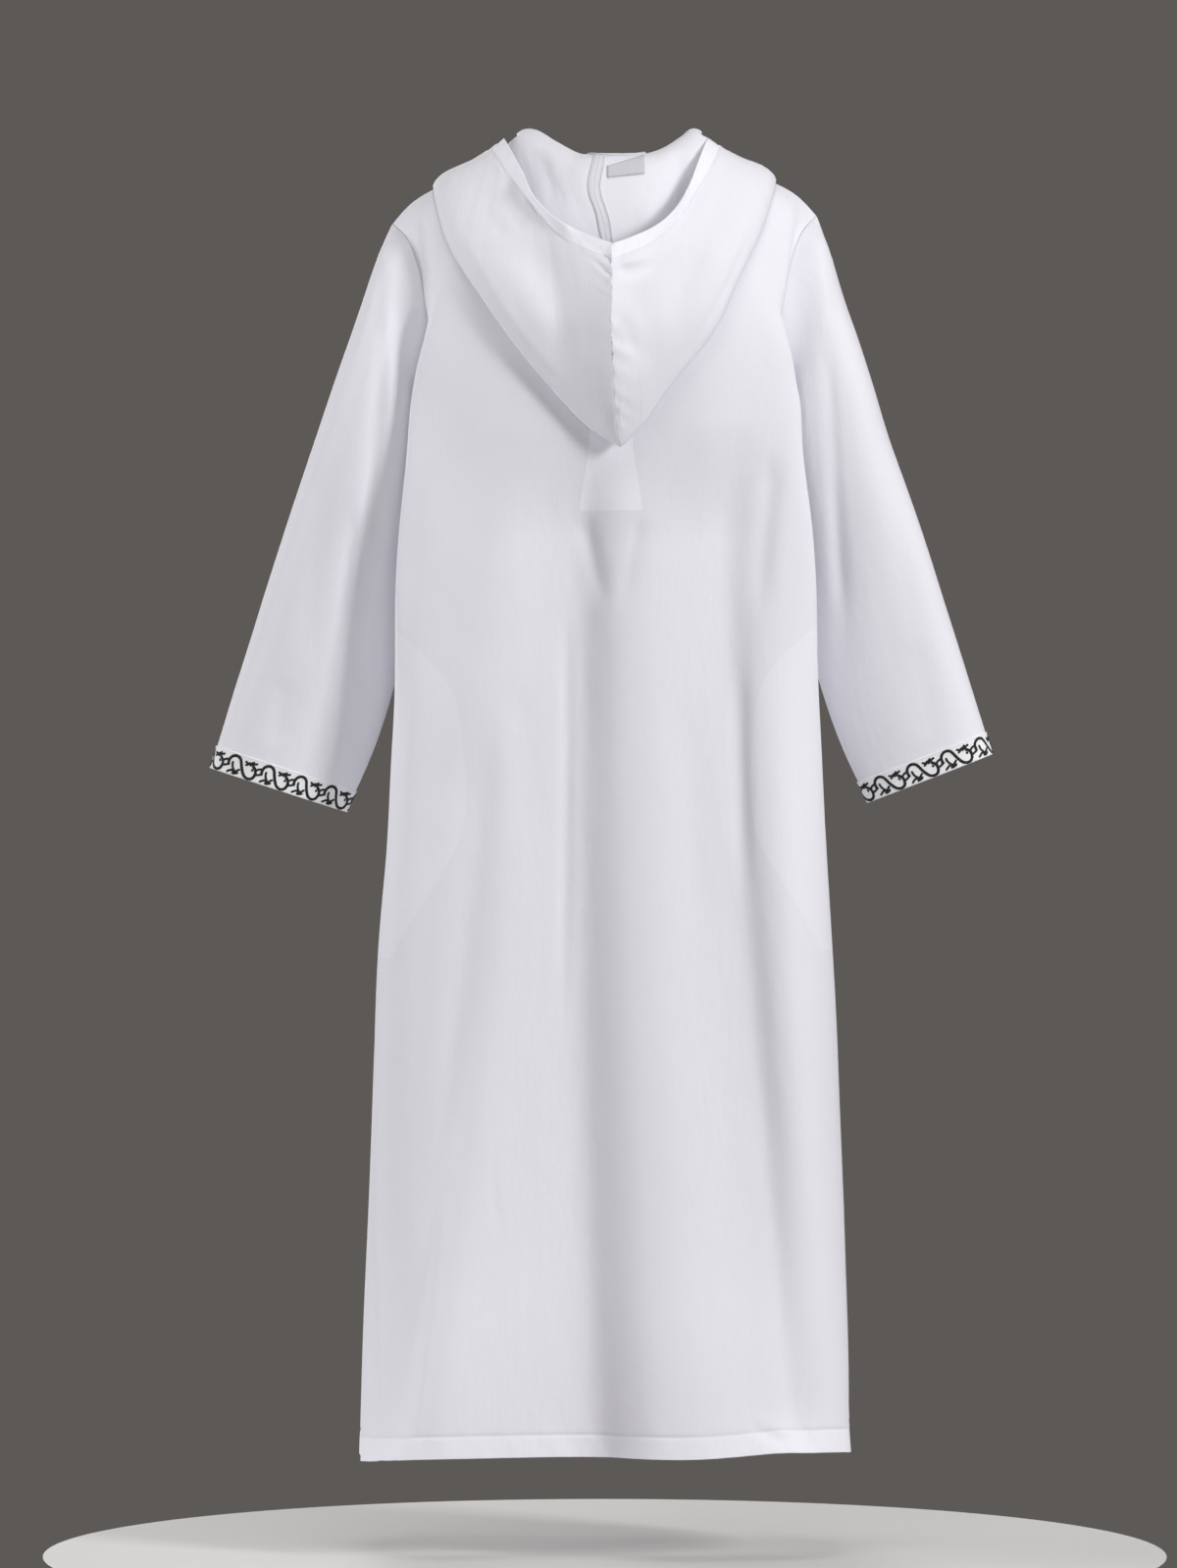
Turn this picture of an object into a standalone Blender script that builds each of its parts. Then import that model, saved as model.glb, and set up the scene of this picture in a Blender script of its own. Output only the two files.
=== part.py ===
"""Hooded djellaba robe, filled out as it hangs from a wearer's shoulders with the hood down the back.

Frame: +Z up, +Y the way the wearer faces, so the back of the robe faces -Y and the wearer's left
is at -X. The origin is the centre of the neck at the height of the shoulders. Sizes are in
millimetres and become metres where a mesh is made. Each piece that a tailor cuts is one object.

The right side of the cloth is the surface that is worked out, and a wall grows from it towards
the wrong side, so that pieces which lie on each other start from the same points.
"""

import math
from collections import namedtuple

import bmesh
import bpy
import numpy as np
from mathutils import kdtree

MM = 0.001
COLLECTION = "djellaba_robe"
CUTTERS = "cutters"
FACES = ("back", "front")
LEFT, RIGHT = -1, 1

# Cloth and seams
CLOTH = 1.5
TURNED_HEM = 2.7
SEAM_GAP = 0.3
NECK_SEAM_GAP = 0.8
TRIM_THICKNESS = 1.3
LINING_GAP = 1.7
LABEL_GAP = 1.0

# Lengths that drive the rest
HEM_HEIGHT = -1402.0
HEM_DEPTH = 25.0
HEM_RISE = 13.0
RAISED_RIGHT = 0.036
RAISED_FROM = 70.0
RAISED_OVER = 120.0
UNDERARM_HEIGHT = -332.0
NECK_HALF_WIDTH = 80.0
NECK_BACK = -66.0
NECK_FRONT = 82.0
NECK_SIDE_HEIGHT = -3.0
NECK_BACK_DROP = 13.0
NECK_FRONT_DROP = 85.0
RIM_HEM_DEPTH = 18.0
CUFF_TRIM_DEPTH = 25.0
SLIT_BOTTOM = -330.0
SLIT_HALF_WIDTHS = (2.4, 0.8)
FACING_BOTTOM = -384.0
FACING_HALF_WIDTH = 35.0
POCKET_TOP, POCKET_BOTTOM = -514.0, -862.0

# Steps of the meshes: between neighbouring lines of a panel from its side to its centre, down the
# skirt, down the yoke, along a sleeve, and round the neck and along the cloth of a hood half.
SPAN_STEPS = (2, 3, 3, 3, 3, 2)
SKIRT_STEPS = 18
YOKE_STEPS = 11
SLEEVE_STEPS = 20
HOOD_STATION_STEPS = 20
HOOD_CLOTH_STEPS = 16
FACING_STEPS = (12, 2)
BAG_STEPS = (11, 9)
LABEL_STEPS = (3, 2)
GROUND_FINENESS = 5

# Places in the meshes that follow from those steps
HEM_STEP = 1.5
HEM_ROWS = 2
UNDERARM_ROW = SKIRT_STEPS + HEM_ROWS
NECK_COLUMN = sum(SPAN_STEPS[:4])
CUFF_ROW = SLEEVE_STEPS
CREST_COLUMN = 3
SHOULDER_STATION = 6

# The skirt, from the hem to the underarm: a row for each level section of the robe. corner is the
# share of the depth at which it is widest, and draw_in is how far the side seam lies inside that,
# where the sleeve hangs between the folds of the back and the front.
Section = namedtuple("Section", "height half_width back front corner draw_in")
SKIRT = (
    Section(HEM_HEIGHT, 263.5, 136.0, 148.0, 0.40, 2.0),
    Section(-1250.0, 258.0, 134.0, 146.0, 0.40, 2.0),
    Section(-1097.0, 252.0, 132.0, 143.0, 0.42, 2.0),
    Section(-887.0, 243.0, 130.0, 141.0, 0.46, 2.0),
    Section(-720.0, 233.0, 129.0, 141.0, 0.52, 5.0),
    Section(-600.0, 227.0, 128.0, 141.0, 0.57, 12.0),
    Section(-500.0, 222.0, 127.0, 142.0, 0.62, 30.0),
    Section(-400.0, 213.0, 125.0, 142.0, 0.66, 44.0),
    Section(UNDERARM_HEIGHT, 205.5, 123.0, 141.0, 0.66, 41.0),
)

# Where the lines of a panel cross a level section: the side seam, the hollow beside the arm, the
# fold in front of it, the side, the blade, the nape and the centre. The first two follow from
# draw_in, and the others are shares of the half width and of the depth.
ACROSS = (1.0, 0.84, 0.54, 0.23, 0.0)
DEPTH_SHARES = {"back": (0.84, 0.975, 0.985, 0.965), "front": (0.88, 0.99, 1.0, 0.99)}
HOLLOW_AT = 0.60
HOLLOW_KEEPS = (0.25, 0.88)
DEEP_DRAW_IN = 30.0

# The yoke, from the underarm to the shoulder and neck: a row for each line of a panel. top_ is
# where it ends, a lower fullness turns it over the shoulder sooner, bow moves its middle outwards,
# bulge moves it away from the wearer, and hook leaves that share of its sideways run to the end.
Line = namedtuple("Line", "top_x top_y top_z fullness bow bulge hook")
YOKE = {
    "back": (
        Line(227.0, 0.0, -77.0, 2.0, 0.0, 66.0, 0.36),
        Line(214.0, 0.0, -62.0, 2.0, 0.0, 34.0, 0.27),
        Line(200.0, 0.0, -50.0, 2.6, -20.0, 12.0, 0.0),
        Line(150.0, 0.0, -25.0, 2.6, 0.0, 10.0, 0.0),
        Line(NECK_HALF_WIDTH, 0.0, NECK_SIDE_HEIGHT, 2.6, 0.0, 12.0, 0.0),
        Line(47.0, -53.4, -11.5, 2.8, 0.0, 12.0, 0.0),
        Line(0.0, NECK_BACK, NECK_SIDE_HEIGHT - NECK_BACK_DROP, 2.8, 0.0, 10.0, 0.0),
    ),
    "front": (
        Line(227.0, 0.0, -77.0, 2.0, 0.0, 62.0, 0.36),
        Line(214.0, 0.0, -62.0, 2.0, 0.0, 30.0, 0.27),
        Line(200.0, 0.0, -50.0, 2.4, -20.0, 8.0, 0.0),
        Line(150.0, 0.0, -25.0, 2.2, 0.0, 6.0, 0.0),
        Line(NECK_HALF_WIDTH, 0.0, NECK_SIDE_HEIGHT, 2.1, 0.0, 4.0, 0.0),
        Line(51.0, 63.0, -54.0, 2.0, 0.0, 3.0, 0.0),
        Line(0.0, NECK_FRONT, NECK_SIDE_HEIGHT - NECK_FRONT_DROP, 1.9, 0.0, 3.0, 0.0),
    ),
}
YOKE_LEVELS = (0.22, 0.44, 0.64, 0.80, 0.92, 1.0)

# The large folds of the skirt: a row for each valley, with its place across at three heights. A
# negative skew makes the valley's right wall steeper than its left one.
Fold = namedtuple(
    "Fold", "top bottom x_top x_middle x_bottom width_top width_bottom depth_top depth_bottom skew"
)
FOLDS = {
    "back": (
        Fold(-290.0, HEM_HEIGHT, -30.0, -36.0, -24.0, 54.0, 96.0, 21.0, 50.0, -0.4),
        Fold(-560.0, -1398.0, -132.0, -172.0, -258.0, 34.0, 50.0, 5.0, 26.0, -0.3),
        Fold(-330.0, -800.0, -196.0, -216.0, -240.0, 16.0, 18.0, 5.0, 2.0, -0.2),
        Fold(-290.0, -1400.0, 127.0, 144.0, 218.0, 56.0, 60.0, 22.0, 30.0, -0.4),
    ),
    "front": (
        Fold(-420.0, HEM_HEIGHT, -52.0, -64.0, -76.0, 24.0, 46.0, 5.0, 13.0, 0.0),
        Fold(-420.0, HEM_HEIGHT, 56.0, 66.0, 72.0, 24.0, 48.0, 5.0, 13.0, 0.0),
        Fold(-560.0, HEM_HEIGHT, -150.0, -168.0, -182.0, 20.0, 36.0, 5.0, 10.0, 0.0),
        Fold(-520.0, HEM_HEIGHT, 148.0, 166.0, 184.0, 20.0, 34.0, 5.0, 10.0, 0.0),
    ),
}

# How the folds fade: below their tops and above their ends, and towards a seam. HOOK_POWER sets how
# late a hooked line turns outwards, and the other two shape the armhole and the line beside it.
FOLD_FADE = 130.0
SEAM_FADE = 40.0
SKEW_SHARPNESS = 2.5
HOOK_POWER = 12
ARMHOLE_ROUNDNESS = 0.55
BOW_LATENESS = 1.6

# Two edges share their normals where these are at least this alike; below -1 they always do.
ALIKE = 0.2
ALWAYS = -1.0

# The sleeve below its armhole: a row for each ring, given by its outer and inner ends. Its outer
# half is fuller than an ellipse, and the left one is turned back a little about its inner edge.
Ring = namedtuple("Ring", "outer_x outer_z inner_x inner_z middle_y half_depth")
SLEEVE = (
    Ring(238.5, -103.0, 166.5, -341.0, -2.0, 62.0),
    Ring(257.0, -157.0, 169.0, -353.0, 0.0, 64.0),
    Ring(281.0, -228.0, 174.0, -374.0, 2.0, 62.0),
    Ring(304.5, -298.0, 182.0, -407.0, 4.0, 58.0),
    Ring(335.5, -390.0, 195.0, -452.0, 8.0, 53.0),
    Ring(368.0, -490.0, 217.0, -541.0, 13.0, 46.0),
    Ring(396.0, -579.0, 243.0, -629.0, 18.0, 40.0),
    Ring(421.0, -660.0, 277.0, -707.0, 22.0, 36.0),
)
# The right sleeve hangs closer to the body. Both lie further back than their middle lines once they
# hang free of the armhole, from the ring numbered HANG_RINGS on.
RIGHT_OUTER_SHIFT = 6.0
RIGHT_CUFF_SHIFT = 5.5
SHIFTED_RINGS = 4
UNDERARM_PINCH = 0.45
SLEEVE_FULLNESS = 2.9
SLEEVE_BACKWARDS = 13.0
SLEEVE_TURN = {LEFT: 0.13, RIGHT: 0.0}
HANG_RINGS = 4

# The hood as it hangs: a row for each station from the centre of the back round to the front, for
# one half. crest_ is where the cloth turns down from the neck, fold_ the lower edge of the bag,
# rim_ the edge of the hood's mouth, and middle_y how far back the outer layer swells.
Station = namedtuple(
    "Station",
    "crest_x crest_y crest_z crest_lean fold_x fold_z fold_lean fold_lift turn "
    "middle_x middle_y middle_z rim_x rim_y rim_z lean",
)
HOOD = (
    Station(0.0, -73.0, -10.0, -4.0, 0.0, -325.5, 19.0, 16.0, 7.0, 0.0, -190.0, -214.0, 0.0, -168.0, -110.0, 8.0),
    Station(18.0, -72.0, -10.0, 4.0, 28.0, -300.0, 11.0, 15.0, 7.0, 18.0, -178.0, -198.0, 21.0, -158.0, -102.0, 8.0),
    Station(35.0, -68.0, -9.0, 10.0, 62.0, -261.0, 6.0, 13.0, 7.0, 42.0, -164.0, -176.0, 44.0, -147.0, -91.0, 7.0),
    Station(53.0, -60.0, -2.0, 13.0, 102.0, -211.0, 5.0, 12.0, 7.0, 70.0, -148.0, -145.0, 65.0, -134.0, -75.0, 6.0),
    Station(70.0, -48.0, 9.0, 12.0, 139.0, -153.0, 0.0, 10.0, 6.0, 98.0, -127.0, -104.0, 82.0, -113.0, -51.0, 5.0),
    Station(84.0, -30.0, 20.0, 9.0, 167.0, -94.0, -2.0, 6.5, 4.5, 126.0, -86.0, -53.0, 96.0, -82.0, -18.0, 3.0),
    Station(90.0, -6.0, 21.0, 5.0, 181.0, -41.5, 0.0, 4.5, 2.5, 145.0, -20.0, -11.0, 110.0, -22.0, 14.0, 1.0),
    Station(84.0, 20.0, 12.0, 3.0, 168.0, -64.0, 0.0, 5.0, 4.0, 138.0, 50.0, -32.0, 104.0, 42.0, 2.0, 0.0),
    Station(70.0, 47.0, -12.0, 0.0, 132.0, -88.0, 0.0, 7.0, 5.0, 112.0, 88.0, -58.0, 84.0, 76.0, -24.0, 0.0),
    Station(49.0, 68.0, -41.0, 0.0, 88.0, -108.0, 0.0, 8.0, 6.0, 74.0, 112.0, -86.0, 56.0, 96.0, -55.0, 0.0),
    Station(27.0, 80.0, -64.0, 0.0, 44.0, -118.0, 0.0, 8.0, 6.0, 38.0, 118.0, -104.0, 29.0, 103.0, -76.0, 0.0),
    Station(7.0, 85.0, -78.0, 0.0, 12.0, -112.0, 0.0, 7.0, 5.0, 10.0, 110.0, -104.0, 8.0, 100.0, -88.0, 0.0),
)
UNDER_LAYER_LIFT = 4.5
LEAST_LIFT = 3.0
PAST_CREST = (10.0, -4.0)
NECK_MIDDLE_Y = 8.0
UNDER_LAYER_SHARES = (0.30, 0.62, 0.86)

# The pocket bags, by how far each reaches from the side seam along the cloth.
BagRow = namedtuple("BagRow", "height reach")
POCKET_BAG = (
    BagRow(POCKET_TOP, 96.0),
    BagRow(-555.0, 140.0),
    BagRow(-632.0, 163.0),
    BagRow(-680.0, 167.0),
    BagRow(-745.0, 158.0),
    BagRow(-800.0, 128.0),
    BagRow(-838.0, 104.0),
    BagRow(POCKET_BOTTOM, 88.0),
)

# The bags start this far from the side seam, and the facing ends this share of a row below the
# neck. The slit's cutter runs up past the neckline and through the front of the robe. The label
# lies between these rows and columns of the hood's mesh.
BAG_SEAM = 4.5
FACING_TOP_MARGIN = 0.05
SLIT_TOP = -60.0
SLIT_DEPTHS = (60.0, 170.0)
LABEL_STATIONS = (0.25, 1.9)
LABEL_CLOTH = (4.1, 5.1)

SHARP_EDGE = 60.0
CLOTH_ROUGHNESS = 0.85
WHITE = (0.83, 0.83, 0.86)
TRIM_WHITE = (0.86, 0.86, 0.87)
LABEL_GREY = (0.55, 0.55, 0.58)


# Curves and surfaces


def spline(knots, values, at):
    """A natural cubic spline through values at the knots, read at other places."""
    knots, values = np.asarray(knots, float), np.asarray(values, float)
    steps = np.diff(knots)
    count = len(knots)
    system, right = np.eye(count), np.zeros_like(values)
    slopes = (values[1:] - values[:-1]) / steps.reshape((-1,) + (1,) * (values.ndim - 1))
    for i in range(1, count - 1):
        system[i, i - 1 : i + 2] = steps[i - 1], 2 * (steps[i - 1] + steps[i]), steps[i]
        right[i] = 6 * (slopes[i] - slopes[i - 1])
    bend = np.linalg.solve(system, right.reshape(count, -1)).reshape(values.shape)
    at = np.clip(np.asarray(at, float), knots[0], knots[-1])
    k = np.clip(np.searchsorted(knots, at, side="right") - 1, 0, count - 2)
    shape = (-1,) + (1,) * (values.ndim - 1)
    h = steps[k].reshape(shape)
    b = ((at - knots[k]).reshape(shape)) / h
    a = 1 - b
    curved = (a**3 - a) * bend[k] + (b**3 - b) * bend[k + 1]
    return a * values[k] + b * values[k + 1] + curved * h**2 / 6


def chord_knots(net):
    """Knots along the first axis of a net of points, spaced as its points are on average."""
    lengths = np.linalg.norm(np.diff(net, axis=0), axis=2).mean(axis=1)
    return np.concatenate([[0.0], np.cumsum(lengths)])


def steps_between(knots, counts):
    """Places along the knots, with the given number of steps in each span."""
    places = [np.linspace(a, b, n, endpoint=False) for a, b, n in zip(knots[:-1], knots[1:], counts)]
    return np.concatenate(places + [[knots[-1]]])


def unit(vectors):
    return vectors / np.maximum(np.linalg.norm(vectors, axis=-1, keepdims=True), 1e-9)


def normals_of(grid):
    """Unit normals of a grid of points, to the side of rows crossed with columns."""
    along, across = np.gradient(grid, axis=0), np.gradient(grid, axis=1)
    return unit(np.cross(along, across))


def smoothstep(x):
    x = np.clip(x, 0.0, 1.0)
    return x * x * (3 - 2 * x)


def read_grid(grid, row, column):
    """Points of a grid at places between its rows and columns."""
    row = np.clip(row, 0, grid.shape[0] - 1.000001)
    column = np.clip(column, 0, grid.shape[1] - 1.000001)
    i, j = row.astype(int), column.astype(int)
    s, t = (row - i)[..., None], (column - j)[..., None]
    low = grid[i, j] * (1 - t) + grid[i, j + 1] * t
    high = grid[i + 1, j] * (1 - t) + grid[i + 1, j + 1] * t
    return low * (1 - s) + high * s


# The body


def skirt_row(section, face):
    """Points across one level section, from the side seam to the centre."""
    depth = section.back if face == "back" else section.front
    sign = -1 if face == "back" else 1
    low, high = HOLLOW_KEEPS
    keep = low + (high - low) * float(smoothstep(section.draw_in / DEEP_DRAW_IN))
    widths = [section.half_width - section.draw_in, section.half_width - section.draw_in * keep]
    widths += [section.half_width * share for share in ACROSS]
    shares = (0.0, section.corner * HOLLOW_AT, section.corner) + DEPTH_SHARES[face]
    rise = HEM_RISE if section.height == HEM_HEIGHT else 0.0
    return [
        (x, sign * depth * share, section.height + rise * share) for x, share in zip(widths, shares)
    ]


def yoke_point(line, bottom, level, face):
    """The point of a yoke line at a level between the underarm, 0, and its top, 1."""
    sign = -1 if face == "back" else 1
    run = (1 - line.hook) * level + line.hook * level**HOOK_POWER
    swell = math.sin(math.pi * level) ** (ARMHOLE_ROUNDNESS if line.hook else 2)
    late = math.sin(math.pi * level**BOW_LATENESS) ** 2
    x = bottom[0] + (line.top_x - bottom[0]) * run + line.bow * late
    y = line.top_y + (bottom[1] - line.top_y) * math.sqrt(max(0.0, 1 - level**line.fullness))
    return x, y + sign * line.bulge * swell, bottom[2] + (line.top_z - bottom[2]) * level


def body_net(face):
    """The points that a panel's surface passes through: a row for each section, -X to +X."""
    half = [skirt_row(section, face) for section in SKIRT]
    underarm = half[-1]
    for level in YOKE_LEVELS:
        half.append([yoke_point(line, start, level, face) for line, start in zip(YOKE[face], underarm)])
    half = np.array(half)
    return np.concatenate([half * (-1, 1, 1), half[:, -2::-1]], axis=1)


def fold_depth(face, x, z):
    """How far the large folds draw the cloth in at a place across and a height."""
    depth = np.zeros_like(x)
    for fold in FOLDS[face]:
        down = np.clip((fold.top - z) / (fold.top - fold.bottom), 0.0, 1.0)
        middle = (1 - down) * (1 - 2 * down) * fold.x_top + 4 * down * (1 - down) * fold.x_middle
        middle = middle + down * (2 * down - 1) * fold.x_bottom
        width = fold.width_top + (fold.width_bottom - fold.width_top) * down
        width = width * (1 + fold.skew * np.tanh(SKEW_SHARPNESS * (x - middle) / width))
        deep = fold.depth_top + (fold.depth_bottom - fold.depth_top) * down
        fade = smoothstep((fold.top - z) / FOLD_FADE)
        if fold.bottom > HEM_HEIGHT:
            fade = fade * smoothstep((z - fold.bottom) / FOLD_FADE + 0.5)
        depth += deep * fade * np.exp(-(((x - middle) / width) ** 2))
    return depth


def body_grids():
    """The right side of both panels: rows from the hem up, columns from -X to +X."""
    nets = {face: body_net(face) for face in FACES}
    across = np.mean([chord_knots(np.swapaxes(net, 0, 1)) for net in nets.values()], axis=0)
    up = np.mean([chord_knots(net) for net in nets.values()], axis=0)
    columns = steps_between(across, SPAN_STEPS + SPAN_STEPS[::-1])
    skirt_top = up[len(SKIRT) - 1]
    rows = np.concatenate(
        [np.linspace(0, skirt_top, SKIRT_STEPS + 1), np.linspace(skirt_top, up[-1], YOKE_STEPS + 1)[1:]]
    )
    rows = np.sort(np.append(rows, [HEM_DEPTH, HEM_DEPTH + HEM_STEP]))
    from_seam = np.minimum(columns, columns[-1] - columns)
    grids = {}
    for face, net in nets.items():
        wide = np.swapaxes(spline(across, np.swapaxes(net, 0, 1), columns), 0, 1)
        grid = spline(up, wide, rows)
        depth = fold_depth(face, grid[..., 0], grid[..., 2]) * smoothstep(from_seam / SEAM_FADE)
        grids[face] = grid - panel_normals(grid, face) * depth[..., None]
    join_panels(grids["back"], grids["front"])
    return grids


def join_panels(back, front):
    """Brings both panels to the same side seams and shoulder seams."""
    for column in (0, -1):
        middle = (back[: UNDERARM_ROW + 1, column] + front[: UNDERARM_ROW + 1, column]) / 2
        back[: UNDERARM_ROW + 1, column] = front[: UNDERARM_ROW + 1, column] = middle
    for span in (slice(0, NECK_COLUMN + 1), slice(-NECK_COLUMN - 1, None)):
        back[-1, span] = front[-1, span] = (back[-1, span] + front[-1, span]) / 2


def panel_normals(grid, face):
    return normals_of(grid) * (-1 if face == "back" else 1)


def share_normals(first, second, alike=ALIKE):
    """Gives two edges that meet on a convex or flat seam the same normals, in place."""
    alike = (first * second).sum(axis=-1) > alike
    both = unit(first + second)
    first[alike] = both[alike]
    second[alike] = both[alike]


# Walls


def drawn_back(grid, first_row=0.0, last_row=0.0, columns=0.0):
    """A grid with its edges moved in along the cloth, for the gap at a seam."""
    grid = grid.copy()
    grid[0] += unit(grid[1] - grid[0]) * first_row
    grid[-1] += unit(grid[-2] - grid[-1]) * last_row
    grid[:, 0] += unit(grid[:, 1] - grid[:, 0]) * columns
    grid[:, -1] += unit(grid[:, -2] - grid[:, -1]) * columns
    return grid


def material(name, colour, roughness):
    made = bpy.data.materials.get(name) or bpy.data.materials.new(name)
    made.use_nodes = True
    made.diffuse_color = (*colour, 1.0)
    shader = made.node_tree.nodes["Principled BSDF"]
    shader.inputs["Base Color"].default_value = (*colour, 1.0)
    shader.inputs["Roughness"].default_value = roughness
    shader.inputs["Metallic"].default_value = 0.0
    return made


def raised_right(points):
    """The whole robe hangs a little higher on the wearer's right."""
    x = points[:, :1]
    return points + RAISED_RIGHT * x * smoothstep((x - RAISED_FROM) / RAISED_OVER) * (0, 0, 1)


def wall(name, outer, inner, colour=WHITE, tube=False):
    """A closed wall between two grids of points: a loft, because its sections are all unlike."""
    rows, columns = outer.shape[:2]
    points = raised_right(np.concatenate([outer.reshape(-1, 3), inner.reshape(-1, 3)])) * MM
    place = np.arange(rows * columns).reshape(rows, columns)
    if tube:
        place = np.concatenate([place, place[:, :1]], axis=1)
    under = place + rows * columns
    faces = []

    def strip(low, high):
        faces.extend(np.stack([low[:-1], low[1:], high[1:], high[:-1]], axis=-1).tolist())

    for row in range(rows - 1):
        strip(place[row], place[row + 1])
        strip(under[row + 1], under[row])
    strip(under[0], place[0])
    strip(place[-1], under[-1])
    if not tube:
        strip(place[:, 0], under[:, 0])
        strip(under[:, -1], place[:, -1])
    mesh = bpy.data.meshes.new(name)
    mesh.from_pydata(points.tolist(), [], faces)
    shape = bmesh.new()
    shape.from_mesh(mesh)
    bmesh.ops.recalc_face_normals(shape, faces=shape.faces)
    if shape.calc_volume(signed=True) < 0:
        bmesh.ops.reverse_faces(shape, faces=shape.faces)
    shape.to_mesh(mesh)
    shape.free()
    mesh.shade_smooth()
    mesh.set_sharp_from_angle(angle=math.radians(SHARP_EDGE))
    mesh.materials.append(material(name, colour, CLOTH_ROUGHNESS))
    obj = bpy.data.objects.new(name, mesh)
    bpy.data.collections[COLLECTION].objects.link(obj)
    return obj


def body_panels(grids, normals):
    for face in FACES:
        grid = drawn_back(grids[face], last_row=SEAM_GAP / 2, columns=SEAM_GAP / 2)
        thickness = np.full((len(grid), 1, 1), CLOTH)
        thickness[:HEM_ROWS] = TURNED_HEM
        wall(face + "_panel", grid, grid - normals[face] * thickness)


# Sleeves


def armhole(grids, side):
    """The armhole from the shoulder down the back and up the front, and each point's angle."""
    column = 0 if side == LEFT else -1
    back = grids["back"][UNDERARM_ROW:, column][::-1]
    front = grids["front"][UNDERARM_ROW:, column]
    angles = []
    for line, start in ((back, 0.0), (front, math.pi)):
        run = chord_knots(line[:, None])
        angles.append(start + math.pi * run / run[-1])
    return np.concatenate([back, front[1:-1]]), np.concatenate([angles[0], angles[1][1:-1]])


def sleeve_grid(grids, side):
    """The right side of a sleeve: rows from the armhole to the cuff, columns round it."""
    start, angle = armhole(grids, side)
    rings = [start]
    for number, ring in enumerate(SLEEVE, 1):
        out_shift = RIGHT_OUTER_SHIFT * min(1.0, number / SHIFTED_RINGS) * (side == RIGHT)
        in_shift = RIGHT_CUFF_SHIFT * (number / len(SLEEVE)) ** 2 * (side == RIGHT)
        hang = float(smoothstep(number / HANG_RINGS))
        middle_y = ring.middle_y - SLEEVE_BACKWARDS * hang
        outer = np.array((side * (ring.outer_x - out_shift), middle_y, ring.outer_z))
        inner = np.array((side * (ring.inner_x + in_shift), middle_y, ring.inner_z))
        reach = (outer - inner) / 2 * np.cos(angle)[:, None]
        outwards = np.maximum(np.cos(angle), 0.0)
        full = np.copysign((1 - outwards**SLEEVE_FULLNESS) ** (1 / SLEEVE_FULLNESS), np.sin(angle))
        full = np.where(outwards > 0, full, np.sin(angle))
        narrowed = full * (1 - UNDERARM_PINCH * ((1 - np.cos(angle)) / 2) ** 2)
        turned = SLEEVE_TURN[side] * hang * np.linalg.norm(reach, axis=1)[0] * (1 + np.cos(angle))
        depth = np.array((0.0, -1.0, 0.0)) * (ring.half_depth * narrowed + turned)[:, None]
        rings.append((outer + inner) / 2 + reach + depth)
    net = np.array(rings)
    along = chord_knots(net)
    rows = np.append(np.linspace(0, along[-1], SLEEVE_STEPS + 1), along[-1] - CUFF_TRIM_DEPTH)
    return spline(along, net, np.sort(rows))


def tube_normals(grid):
    """Normals of a tube, away from its middle line."""
    wrapped = np.concatenate([grid[:, -1:], grid, grid[:, :1]], axis=1)
    normals = normals_of(wrapped)[:, 1:-1]
    outward = grid - grid.mean(axis=1, keepdims=True)
    return normals * np.sign((normals * outward).sum())


def sleeves(grids, normals):
    for side, word in ((LEFT, "left"), (RIGHT, "right")):
        grid = sleeve_grid(grids, side)
        facing = tube_normals(grid)
        share_armhole(normals, facing, side)
        wall("sleeve_" + word, drawn_tube(grid), drawn_tube(grid) - facing * CLOTH, tube=True)
        band, out = grid[CUFF_ROW:], facing[CUFF_ROW:]
        under, over = band + out * SEAM_GAP, band + out * (SEAM_GAP + TRIM_THICKNESS)
        wall("cuff_trim_" + word, over, under, TRIM_WHITE, tube=True)


def drawn_tube(grid):
    grid = grid.copy()
    grid[0] += unit(grid[1] - grid[0]) * SEAM_GAP / 2
    return grid


def share_armhole(normals, facing, side):
    """Gives a sleeve's first ring and the panels' armholes the same normals."""
    column = 0 if side == LEFT else -1
    count = YOKE_STEPS + 1
    back, front = normals["back"][UNDERARM_ROW:, column], normals["front"][UNDERARM_ROW:, column]
    back_edge, front_edge = back[::-1].copy(), front[1:].copy()
    sleeve_back = facing[0, :count].copy()
    sleeve_front = np.roll(facing[0], -count, axis=0)[: count - 1].copy()
    share_normals(back_edge, sleeve_back)
    share_normals(front_edge, sleeve_front)
    front_edge[-1] = sleeve_back[0] = back_edge[0]
    normals["back"][UNDERARM_ROW:, column] = back_edge[::-1]
    normals["front"][UNDERARM_ROW + 1 :, column] = front_edge
    facing[0, :count] = sleeve_back
    facing[0, count:] = sleeve_front[: facing.shape[1] - count]


# The hood


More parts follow.
